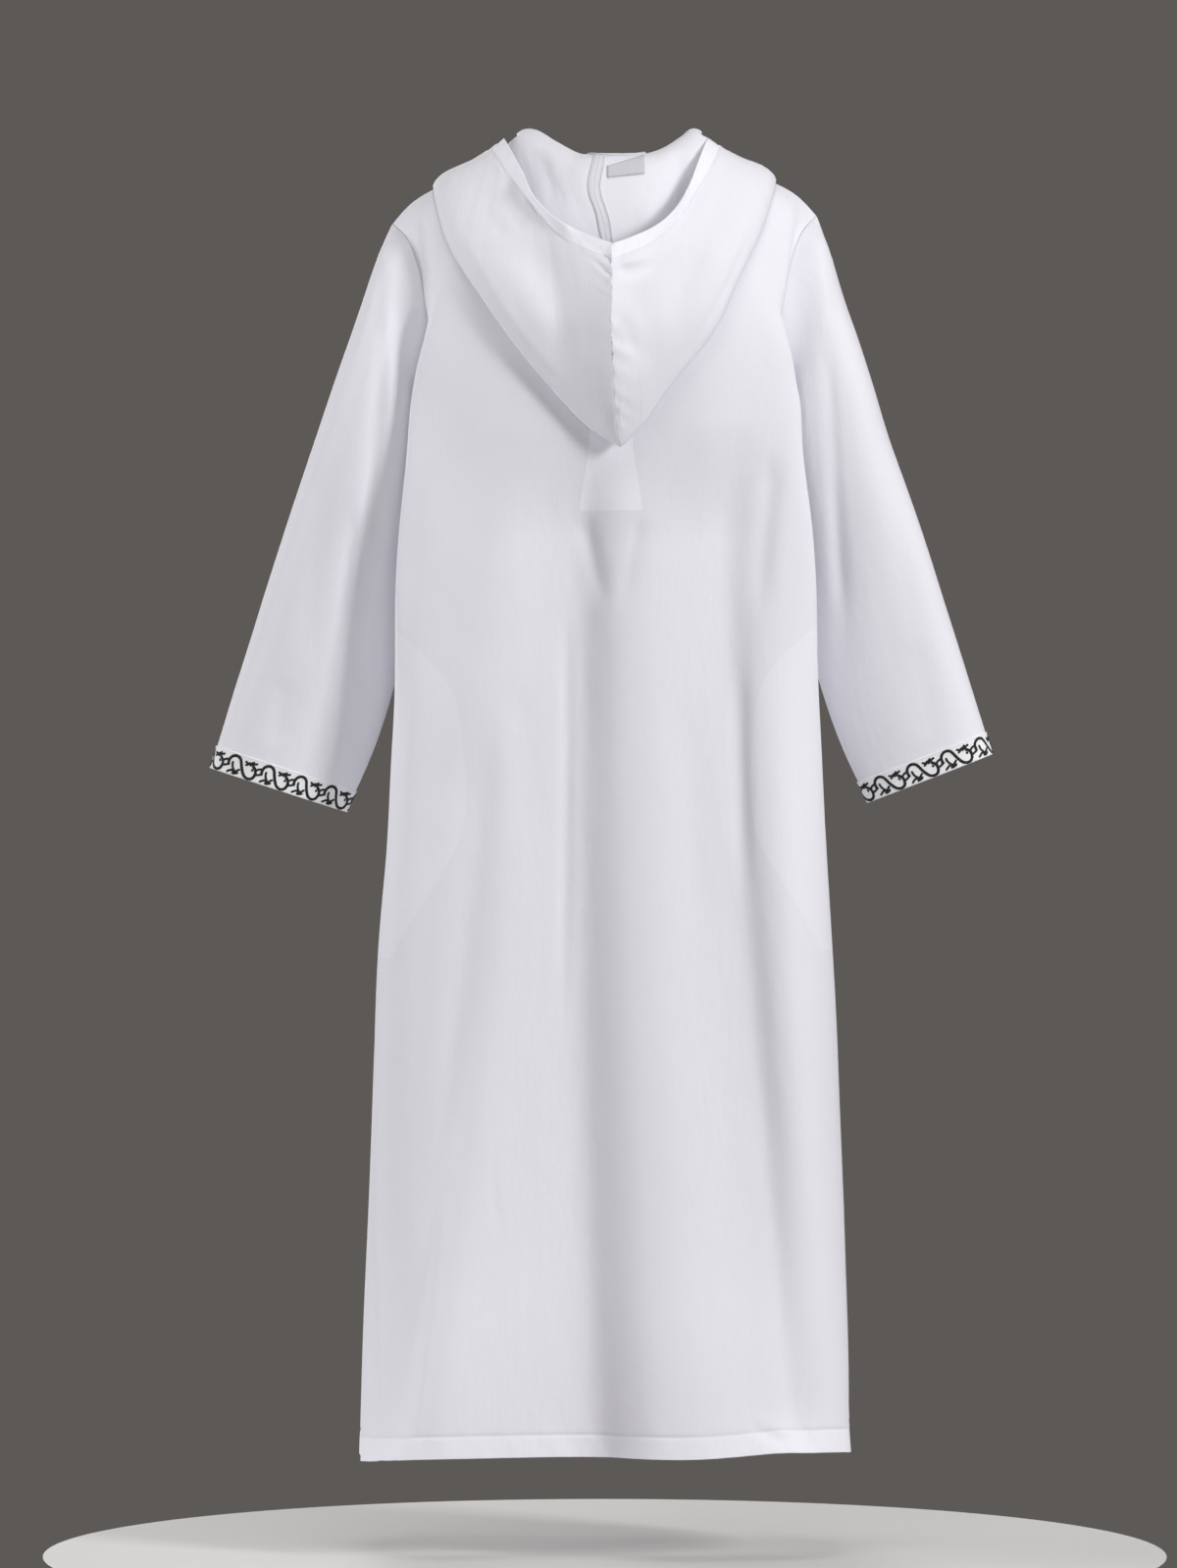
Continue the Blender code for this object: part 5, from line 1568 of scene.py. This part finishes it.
class CuffBand:
    """The strip round a cuff that the ribbon covers, by the distance round it and up it."""

    def __init__(self, side, word):
        sleeve = robe().sleeves[side]
        levels = np.linspace(0, CUFF_TRIM_DEPTH, BAND_LEVELS)
        self.points, self.facing = map(np.array, zip(*(sleeve.ring(level) for level in levels)))
        self.run = line_run(self.points[BAND_LEVELS // 2])
        self.length = self.run[-1]
        around = ripple(self.run[None, :], levels[:, None], "ribbon_" + word)
        fade = smoothstep(np.minimum(self.run, self.length - self.run) / 20)
        self.points = self.points + self.facing * (RIBBON_UNEVENNESS * around * fade)[..., None]

    def place(self, u, v, lift):
        column = np.interp(np.mod(u, self.length), self.run, np.arange(len(self.run)))
        row = v / CUFF_TRIM_DEPTH * (BAND_LEVELS - 1)
        points, facing = surface_at(self.points, self.facing, row, column)
        return points + facing * lift, facing


def cuff_ribbon(side, word, settings):
    """The woven ribbon round a cuff."""
    band = CuffBand(side, word)
    v, relief = np.array(RIBBON_PROFILE).T
    u = np.linspace(0, band.length, RIBBON_STEPS + 1)
    points, facing = band.place(u[None, :-1], v[:, None], 0.0)
    outer = points + facing * (RIBBON_LIFT + RIBBON_THICKNESS + relief[:, None, None])
    inner = points + facing * RIBBON_LIFT
    uv = cloth_uv(u[None, :], v[:, None])
    obj = shell("ribbon_cuff_" + word, outer, inner, uv, tube=True)
    ribbed = relief_finish("cuff_ribbon", RIBBED, settings.ribbon_colour, 0.7, 0.0007)
    dress(obj, ribbed, "trim", "cuff_trim_" + word)
    return band


def cuff_scroll(side, word, band, settings):
    """The corded scroll that runs round the cuff, repeat after repeat."""
    threads = Threads()
    repeats = round(band.length / SCROLL_WIDTH)
    cell = band.length / repeats
    for repeat in range(repeats):
        start = SCROLL_STARTS[side] + repeat * cell
        for name, stroke in SCROLL.items():
            width = settings.cord_width * 1000 * (1 if name == "loops" else THIN_CORD)
            chart = np.array(stroke)
            run = line_run(chart)
            at = np.linspace(0, run[-1], max(4, int(run[-1] / CORD_STEP) + 1))
            drawn = spline(run, chart, at)
            u = start - side * drawn[:, 0] * cell / SCROLL_WIDTH
            lift = RIBBON_LIFT + RIBBON_THICKNESS + CORD_RISE
            points, facing = band.place(u, drawn[:, 1], lift)
            threads.add(points, facing, width, CORD_HEIGHT, 8, CORD_TWIST, CORD_PITCH)
    obj = threads.make("scroll_cuff_" + word)
    dress(obj, thread_finish("black_cord", settings.cord_colour, 0.5, 0.0011), "trim")
    return obj


def lining_piece(node, body, face, rows, columns, settings, split=None):
    """A piece sewn to the wrong side of a panel, at these places between its rows and columns."""
    rows, columns = np.array(rows)[:, None], np.array(columns)
    points, facing = surface_at(body.grids[face], body.normals[face], rows, columns)
    run = run_of(points, 1)
    uv = cloth_uv(run, run_of(points, 0))
    fields = one_layer(np.minimum.reduce([run, run[:, -1:] - run, run_of(points, 0)]) + 4)
    if split:
        points, facing, uv, *parted = slit_open([points, facing, uv, *fields.values()], *split)
        fields = dict(zip(fields, parted))
    over, under = points - facing * LINING_GAP, points - facing * (LINING_GAP + LINING_CLOTH)
    obj = shell("cloth_" + node, over, under, uv, fields, split=split)
    dress(obj, cloth_finish("lining_cloth", settings, LINING_SHADE), "lining", node)


def pocket_bags(settings):
    """The bags whose shape shows through the back, from each side seam inwards."""
    body = robe().body
    grid, middle = body.grids["back"], body.middle
    heights = np.linspace(POCKET_BOTTOM, POCKET_TOP, BAG_STEPS[0] + 1)
    half = np.arange(middle + 1)
    for side, word in SIDES:
        rows, columns = [], []
        places = half if side == LEFT else 2 * middle - half
        for height, reach in zip(heights, bag_reach(heights)):
            rows.append(body.row_at("back", EDGE_COLUMN[side], height))
            across = np.linspace(BAG_SEAM, reach, BAG_STEPS[1] + 1)
            columns.append(columns_along(grid, rows[-1], places, across))
        lining_piece("pocket_bag_" + word, body, "back", rows, columns, settings)


def neck_facing(settings):
    """The strip behind the slit and below it."""
    body = robe().body
    grid, middle = body.grids["front"], body.middle
    low, slit = (body.row_at("front", middle, height) for height in (FACING_BOTTOM, SLIT_BOTTOM))
    below, above = np.linspace(low, slit, 11), np.linspace(slit, len(grid) - 1.6, 50)[1:]
    rows, columns = np.concatenate([below, above]), []
    places = np.arange(float(middle), 2 * middle + 1)
    across = np.linspace(0, FACING_HALF_WIDTH, FACING_COLUMNS + 1)
    for row in rows:
        half = columns_along(grid, row, places, across) - middle
        columns.append(middle + np.concatenate([-half[:0:-1], half]))
    split = (FACING_COLUMNS, len(below) - 1)
    lining_piece("neck_facing", body, "front", rows, columns, settings, split)


def place_by_height(half, x, z):
    """The points of a hood half's under layer with these x and z, and their normals."""
    under = (half.past_fold < -10) & (half.down > BELOW_CREST)
    known = half.grid[under]
    rows, columns = np.nonzero(under)
    miss = (known[:, 0] - x[..., None]) ** 2 + (known[:, 2] - z[..., None]) ** 2
    nearest = miss.argmin(axis=-1)
    first_row, first_column = rows[nearest].astype(float), columns[nearest].astype(float)
    row, column = first_row, first_column
    for _ in range(8):
        here = read_grid(half.grid, row, column)
        by_row = read_grid(half.grid, row + 0.5, column) - read_grid(half.grid, row - 0.5, column)
        by_column = read_grid(half.grid, row, column + 0.5) - read_grid(half.grid, row, column - 0.5)
        a, b, c, d = by_row[..., 0], by_column[..., 0], by_row[..., 2], by_column[..., 2]
        off_x, off_z = x - here[..., 0], z - here[..., 2]
        size = a * d - b * c
        row = first_row + np.clip(row - first_row + (d * off_x - b * off_z) / size, -2, 2)
        row = np.clip(row, 0.5, half.grid.shape[0] - 1.5)
        column = first_column + np.clip(column - first_column + (a * off_z - c * off_x) / size, -2, 2)
    return surface_at(half.grid, half.normals, row, column)


def blank_label(settings):
    """A label with nothing on it, sewn to the wrong side of the hood just below the neck."""
    half = robe().hood.halves[RIGHT]
    across, down = (np.linspace(0, 1, steps) for steps in LABEL_STEPS)
    upper_left, upper_right, lower_right, lower_left = np.array(LABEL_CORNERS)
    across, down = across[None, :, None], down[:, None, None]
    places = mix(mix(upper_left, upper_right, across), mix(lower_left, lower_right, across), down)
    points, facing = place_by_height(half, places[..., 0], places[..., 1])
    v = run_of(points, 0)
    turned = 0.4 * bell(np.minimum(v, v[-1:] - v) / 1.6)[..., None]
    inner = points - facing * (CLOTH + LABEL_DEPTHS[0])
    outer = points - facing * (CLOTH + LABEL_DEPTHS[1] + turned)
    obj = shell("blank_neck_label", outer, inner, cloth_uv(run_of(points, 1), v))
    satin = relief_finish("blank_label", SATIN, settings.label_colour, 0.62, 0.0006)
    dress(obj, satin, "label", "neck_label")
    threads = Threads()
    for row in (1, LABEL_STEPS[1] - 2):
        threads.stitches(outer[row], -facing[row], LABEL_SEWING)
    stitched = threads.make("stitches_label")
    dress(stitched, thread_finish("label_thread", settings.label_thread, 0.7), "label")


def half_place(half, out, down):
    """The right side of half a hood at distances out from its seam and down its cloth."""
    row, column = np.zeros(out.size), np.zeros(out.size)
    all_rows, all_columns = np.arange(half.grid.shape[0]), np.arange(half.grid.shape[1])

    def profile(values, at):
        low = min(int(at), len(values) - 2)
        return values[low] * (1 - at + low) + values[low + 1] * (at - low)

    for number, (off, drop) in enumerate(zip(out.ravel(), down.ravel())):
        column[number] = np.interp(drop, half.down[0], all_columns)
        row[number] = np.interp(off, profile(half.out.T, column[number]), all_rows)
        column[number] = np.interp(drop, profile(half.down, row[number]), all_columns)
    row, column = row.reshape(out.shape), column.reshape(out.shape)
    return surface_at(half.grid, half.normals, row, column)


def hood_place(across, down):
    """The hood's right side at distances across it from its seam, the wearer's left below 0."""
    halves = robe().hood.halves
    left = half_place(halves[LEFT], np.maximum(-across, 0), down)
    right = half_place(halves[RIGHT], np.maximum(across, 0), down)
    pick = (across < 0)[..., None]
    points = np.where(pick, left[0], right[0])
    return points, unit(np.where(pick, left[1], right[1]))


def seam_allowance(name, across, down, settings, lift, curl):
    """A serged seam allowance that lies on the hood's wrong side, with its edges a little raised."""
    points, facing = hood_place(across, down)
    edge = np.linspace(-1.0, 1.0, across.shape[1])[None, :, None]
    raised_edge = curl * np.abs(edge) ** 6 + 0.25 * bell(edge / 0.08)
    outer = points - facing * (CLOTH + lift + raised_edge)
    inner = points - facing * (CLOTH + 0.15 + raised_edge * 0.5)
    run = run_of(points, 1)
    # The seam field paints shade down the middle of the allowance.
    uv, fields = cloth_uv(run, run_of(points, 0)), one_layer(np.abs(across) + 0.6)
    obj = shell(name, outer, inner, uv, fields)
    dress(obj, cloth_finish("allowance_cloth", settings, ALLOWANCE_SHADE, 0.05), "cloth")
    return points, facing


def serging(threads, points, facing, edge_column, inner_column, pitch, lift):
    """Overlock thread over one edge of an allowance: loops along the edge and slanting legs."""
    edge, inner, up = points[:, edge_column], points[:, inner_column], -facing[:, edge_column]
    run = line_run(edge)
    count = int(run[-1] / pitch)
    for number in range(count):
        start, end = number * pitch, (number + 1) * pitch
        at = np.array([start, (start + end) / 2, end, end])
        line_edge = along_line(run, edge, at)
        line_inner = along_line(run, inner, at)
        facing_at = unit(along_line(run, up, at))
        share = np.array([0.0, 0.12, 0.95, 1.0])[:, None]
        out = line_edge + (line_edge - line_inner) * 0.04
        leg = mix(out, line_inner, share)
        threads.add(leg + facing_at * lift, facing_at, 0.45, 0.4, 4)
    at = np.arange(0, run[-1], pitch / 2)
    facing_at = unit(along_line(run, up, at))
    line = along_line(run, edge, at) + facing_at * lift
    threads.add(line, facing_at, 0.55, 0.5, 5, 0.2, pitch)


def hood_seam_strips(settings, sewing):
    """The allowances of the hood's centre seam and of the neck seam, as they lie inside the hood."""
    half = robe().hood.halves[LEFT]
    end = half.down[0][np.abs(half.past_fold[0] + 26.0).argmin()]
    down = np.arange(NECK_SEAM_STRIP.down, end, 1.6)
    wander = ripple(down, down, "allowance")
    half_width = HOOD_SEAM_STRIP_HALF + 0.45 * ripple(down, down, "allowance width")
    across = np.linspace(-1.0, 1.0, 21)[None, :] * half_width[:, None] + 0.5 * wander[:, None]
    points, facing = seam_allowance(
        "allowance_hood_seam", across, down[:, None] + across * 0, settings, 0.6, 0.35
    )
    threads = Threads()
    lift = CLOTH + 1.1
    for edge_column, inner_column in ((0, 5), (-1, -6)):
        serging(threads, points, facing, edge_column, inner_column, 2.6, lift)
    strip = NECK_SEAM_STRIP
    u = np.linspace(strip.left, strip.right, 60)
    shape = 1 - np.abs((u - (strip.left + strip.right) / 2) / ((strip.right - strip.left) / 2)) ** 2.4
    depth = strip.tall * shape + 0.8
    v = np.linspace(0.0, 1.0, 13)[:, None]
    across = u[None, :] + v * 0
    points, facing = seam_allowance(
        "allowance_neck_seam", across.T, (strip.down - 2 + v * depth).T, settings, 1.3, 0.3
    )
    serging(threads, points, facing, -1, -6, 2.4, CLOTH + 1.8)
    obj = threads.make("serging_hood")
    dress(obj, thread_finish("serging_thread", sewing.thread_colour, 0.7, 0.0008), "cloth")


def hem_stitches(threads):
    """The stitches of the hem, across the front and the back."""
    body = robe().body
    row = np.interp(HEM_DEPTH - HEM_STITCH_INSET, body.from_hem, np.arange(len(body.from_hem)))
    for face in FACES:
        columns = np.linspace(0.3, body.grids[face].shape[1] - 1.3, 900)
        path, up = surface_at(body.grids[face], body.normals[face], row, columns)
        threads.stitches(path, up, HEM_SEWING)


def rim_stitches(threads):
    """The stitches of the hem round the hood's mouth."""
    for half in robe().hood.halves.values():
        rows = np.arange(float(len(half.grid)))
        columns = np.array([np.interp(-RIM_HEM_DEPTH, -r, np.arange(len(r))) for r in half.from_rim])
        path, up = surface_at(half.grid, half.normals, rows, columns)
        run = line_run(path)
        at = np.linspace(1.0, run[-1], 700)
        threads.stitches(along_line(run, path, at), along_line(run, up, at), RIM_SEWING)


def slit_stitches(threads):
    """The stitches up both sides of the slit and of its facing, and across below each."""
    body = robe().body
    grid, facing, middle = body.grids["front"], body.normals["front"], body.middle
    places = np.arange(float(middle), 2 * middle + 1)
    top = len(grid) - 1.4
    low = body.row_at("front", middle, SLIT_BOTTOM) - 0.6
    facing_low = FACING_BOTTOM + FACING_STITCH_INSET
    facing_side = FACING_HALF_WIDTH - FACING_STITCH_INSET
    bottom = body.row_at("front", middle, facing_low)
    for side in (-1, 1):
        for off, first in ((SLIT_STITCH, low), (facing_side, bottom)):
            rows = np.linspace(first, top, 220)
            reach = np.array([float(columns_along(grid, row, places, off)) for row in rows])
            path, up = surface_at(grid, facing, rows, middle + side * (reach - middle))
            threads.stitches(path, up, SLIT_SEWING)
    for height, off in ((SLIT_BOTTOM - FACING_STITCH_INSET, SLIT_STITCH), (facing_low, facing_side)):
        row = body.row_at("front", middle, height)
        reach = columns_along(grid, row, places, off) - middle
        columns = np.linspace(middle - reach, middle + reach, 120)
        path, up = surface_at(grid, facing, row, columns)
        threads.stitches(path, up, SLIT_SEWING)


def cuff_stitches(threads, band):
    """The stitches along both edges of a cuff's ribbon."""
    u = np.linspace(0, band.length, 500)
    for v in (RIBBON_STITCH_INSET, CUFF_TRIM_DEPTH - RIBBON_STITCH_INSET):
        path, up = band.place(u, v, RIBBON_LIFT + RIBBON_THICKNESS + 0.15)
        threads.stitches(path, up, CUFF_SEWING)


# Settings and operators


def length_property(name, description, default, low, high):
    return bpy.props.FloatProperty(
        name=name, description=description, default=default, min=low, max=high,
        unit="LENGTH", precision=5,
    )


def colour_property(name, description, default):
    return bpy.props.FloatVectorProperty(
        name=name, description=description, default=default, subtype="COLOR", min=0.0, max=1.0
    )


def share_property(name, description, default):
    return bpy.props.FloatProperty(
        name=name, description=description, default=default, min=0.0, max=1.0, subtype="FACTOR"
    )


class ClothSettings(bpy.types.PropertyGroup):
    """The white cloth of the robe and its lining."""

    colour: colour_property("Cloth colour", "Colour of one layer of the cloth", (0.782, 0.775, 0.83))
    roughness: share_property("Roughness", "How matt the cloth is", 0.82)
    sheen: share_property("Sheen", "Soft brightness of the fibres at a low angle", 0.12)
    doubled_gain: share_property("Doubled gain", "How much paler two layers look than one", 0.1)
    # Painted shade: how much darker the cloth is painted in the fold of a seam.
    painted_seam_shade: share_property("Painted seam shade", "How much darker the fold of a seam is", 0.22)
    thread_spacing: length_property("Thread spacing", "Thread to thread", 0.0005, 0.0002, 0.002)
    fine_crease_depth: length_property("Fine creases", "Height of fine creases", 0.0016, 0.0, 0.006)


class SewingSettings(bpy.types.PropertyGroup):
    """Threads, label and the pieces that only sewing shows."""

    thread_colour: colour_property("Thread", "Colour of the sewing thread", (0.78, 0.78, 0.8))
    label_colour: colour_property("Label", "Colour of the blank label", (0.58, 0.58, 0.63))
    label_thread: colour_property("Label thread", "Colour of its stitches", (0.62, 0.62, 0.64))


class TrimSettings(bpy.types.PropertyGroup):
    """The embroidered ribbon round each cuff."""

    ribbon_colour: colour_property("Ribbon", "Colour of the woven ribbon", (0.88, 0.88, 0.9))
    cord_colour: colour_property("Cord", "Colour of the scroll's cord", (0.012, 0.012, 0.014))
    cord_width: length_property("Cord width", "Width of the scroll's cord", 0.0032, 0.001, 0.004)


class StudioSettings(bpy.types.PropertyGroup):
    """Floor, light and camera."""

    floor_drop: length_property("Floor drop", "Height of the hem above the floor", 0.098, 0.0, 1.0)
    floor_colour: colour_property("Floor", "Colour of the floor", (0.62, 0.61, 0.6))
    backdrop: colour_property("Backdrop", "Colour behind the robe", (0.109, 0.1, 0.093))
    key_power: bpy.props.FloatProperty(
        name="Key light", description="Power of the main light", default=149.0, min=0.0, unit="POWER"
    )
    fill_power: bpy.props.FloatProperty(
        name="Fill light", description="Power of the wide light", default=82.0, min=0.0, unit="POWER"
    )


class DJELLABA_OT_body(bpy.types.Operator):
    """Dress the back and front panels in cloth with their hem, folds and creases"""

    bl_idname = "djellaba.body"
    bl_label = "Body panels"

    def execute(self, context):
        for face in FACES:
            body_panel(face, context.scene.djellaba_cloth)
        return {"FINISHED"}


class DJELLABA_OT_sleeves(bpy.types.Operator):
    """Dress both sleeves in cloth, from the armhole to the cuff"""

    bl_idname = "djellaba.sleeves"
    bl_label = "Sleeves"

    def execute(self, context):
        for side, word in SIDES:
            sleeve_piece(side, word, context.scene.djellaba_cloth)
        return {"FINISHED"}


class DJELLABA_OT_hood(bpy.types.Operator):
    """Dress both halves of the hood in cloth, with the hem of its mouth"""

    bl_idname = "djellaba.hood"
    bl_label = "Hood"

    def execute(self, context):
        for side, word in SIDES:
            hood_piece(side, word, context.scene.djellaba_cloth)
        return {"FINISHED"}


class DJELLABA_OT_cuffs(bpy.types.Operator):
    """Make the cuffs' woven ribbons with their corded scroll and stitching"""

    bl_idname = "djellaba.cuffs"
    bl_label = "Cuff trims"

    def execute(self, context):
        trim, sewing = context.scene.djellaba_trim, context.scene.djellaba_sewing
        for side, word in SIDES:
            band = cuff_ribbon(side, word, trim)
            cuff_scroll(side, word, band, trim)
            threads = Threads()
            cuff_stitches(threads, band)
            stitches = threads.make("stitches_cuff_" + word)
            dress(stitches, thread_finish("sewing_thread", sewing.thread_colour), "trim")
        return {"FINISHED"}


class DJELLABA_OT_inside(bpy.types.Operator):
    """Make what is sewn inside: the pocket bags, the neck facing and the blank label"""

    bl_idname = "djellaba.inside"
    bl_label = "Inside pieces"

    def execute(self, context):
        pocket_bags(context.scene.djellaba_cloth)
        neck_facing(context.scene.djellaba_cloth)
        blank_label(context.scene.djellaba_sewing)
        return {"FINISHED"}


class DJELLABA_OT_allowances(bpy.types.Operator):
    """Make the serged seam allowances that show inside the hood"""

    bl_idname = "djellaba.allowances"
    bl_label = "Seam allowances"

    def execute(self, context):
        hood_seam_strips(context.scene.djellaba_cloth, context.scene.djellaba_sewing)
        return {"FINISHED"}


class DJELLABA_OT_stitching(bpy.types.Operator):
    """Sew the stitch lines of the hem, the hood's mouth and the neck slit"""

    bl_idname = "djellaba.stitching"
    bl_label = "Stitching"

    def execute(self, context):
        sewing = context.scene.djellaba_sewing
        rows = (("hem", hem_stitches), ("hood_mouth", rim_stitches), ("neck_slit", slit_stitches))
        for word, sew in rows:
            threads = Threads()
            sew(threads)
            obj = threads.make("stitches_" + word)
            dress(obj, thread_finish("sewing_thread", sewing.thread_colour), "cloth")
        return {"FINISHED"}


class DJELLABA_OT_studio(bpy.types.Operator):
    """Set up the pale floor, the soft lights, the backdrop and the camera"""

    bl_idname = "djellaba.studio"
    bl_label = "Studio"

    def execute(self, context):
        settings = context.scene.djellaba_studio
        floor(settings)
        lights(settings)
        camera(context.scene)
        return {"FINISHED"}


def floor(settings):
    """A round pale floor below the hem."""
    turn = np.linspace(0, 2 * math.pi, FLOOR_SIDES, endpoint=False)
    height = HEM_HEIGHT * MM - settings.floor_drop
    mesh = bpy.data.meshes.new("floor")
    points = [(FLOOR_RADIUS * math.cos(a), FLOOR_RADIUS * math.sin(a), height) for a in turn]
    mesh.from_pydata(points, [], [tuple(range(FLOOR_SIDES))])
    mesh.materials.append(floor_finish("pale_floor", settings.floor_colour))
    obj = placed("floor", mesh)


def lights(settings):
    """The soft lights and the even backdrop."""
    for light in STUDIO_LIGHTS:
        data = bpy.data.lights.new(light.name, "AREA")
        data.shape, data.color = "RECTANGLE", light.colour
        data.size, data.size_y = light.size
        power = settings.key_power if light.name == "key" else settings.fill_power
        data.energy = power * light.share
        obj = placed(light.name, data)
        obj.location = light.place
        obj.rotation_euler = (LIGHTS_AIM - obj.location).to_track_quat("-Z", "Y").to_euler()
    world = bpy.data.worlds.new("backdrop")
    world.use_nodes = True
    background = world.node_tree.nodes["Background"]
    background.inputs["Color"].default_value = (*settings.backdrop, 1.0)
    background.inputs["Strength"].default_value = 1.0
    bpy.context.scene.world = world


def camera(scene):
    data = bpy.data.cameras.new("camera")
    data.sensor_fit, data.sensor_height = "VERTICAL", CAMERA_SENSOR
    data.lens, data.clip_end = CAMERA_LENS, 100.0
    obj = scene.camera = placed("camera", data)
    obj.location, obj.rotation_euler = CAMERA_PLACE, (math.pi / 2, 0.0, 0.0)
    scene.view_settings.view_transform = "Standard"
    scene.view_settings.look = "None"


class DJELLABA_PT_sidebar(bpy.types.Panel):
    """Sizes and colours of the robe"""

    bl_idname = "DJELLABA_PT_sidebar"
    bl_label = "Hooded djellaba robe"
    bl_space_type = "VIEW_3D"
    bl_region_type = "UI"
    bl_category = "Robe"

    def draw(self, context):
        for word, group in SETTINGS.items():
            box = self.layout.box()
            box.label(text=word.capitalize())
            settings = getattr(context.scene, "djellaba_" + word)
            for field in group.__annotations__:
                box.prop(settings, field)
        for operator in OPERATORS:
            self.layout.operator(operator.bl_idname)


SETTINGS = {
    "cloth": ClothSettings,
    "sewing": SewingSettings,
    "trim": TrimSettings,
    "studio": StudioSettings,
}
OPERATORS = (
    DJELLABA_OT_body,
    DJELLABA_OT_sleeves,
    DJELLABA_OT_hood,
    DJELLABA_OT_cuffs,
    DJELLABA_OT_inside,
    DJELLABA_OT_allowances,
    DJELLABA_OT_stitching,
    DJELLABA_OT_studio,
)


def register():
    for cls in (*SETTINGS.values(), *OPERATORS, DJELLABA_PT_sidebar):
        bpy.utils.register_class(cls)
    for word, group in SETTINGS.items():
        setattr(bpy.types.Scene, "djellaba_" + word, bpy.props.PointerProperty(type=group))


def unregister():
    for word in SETTINGS:
        delattr(bpy.types.Scene, "djellaba_" + word)
    for cls in (DJELLABA_PT_sidebar, *OPERATORS[::-1], *SETTINGS.values()):
        bpy.utils.unregister_class(cls)


def main():
    register()
    for operator in OPERATORS:
        getattr(bpy.ops.djellaba, operator.bl_idname.split(".")[1])()


if __name__ == "__main__":
    main()
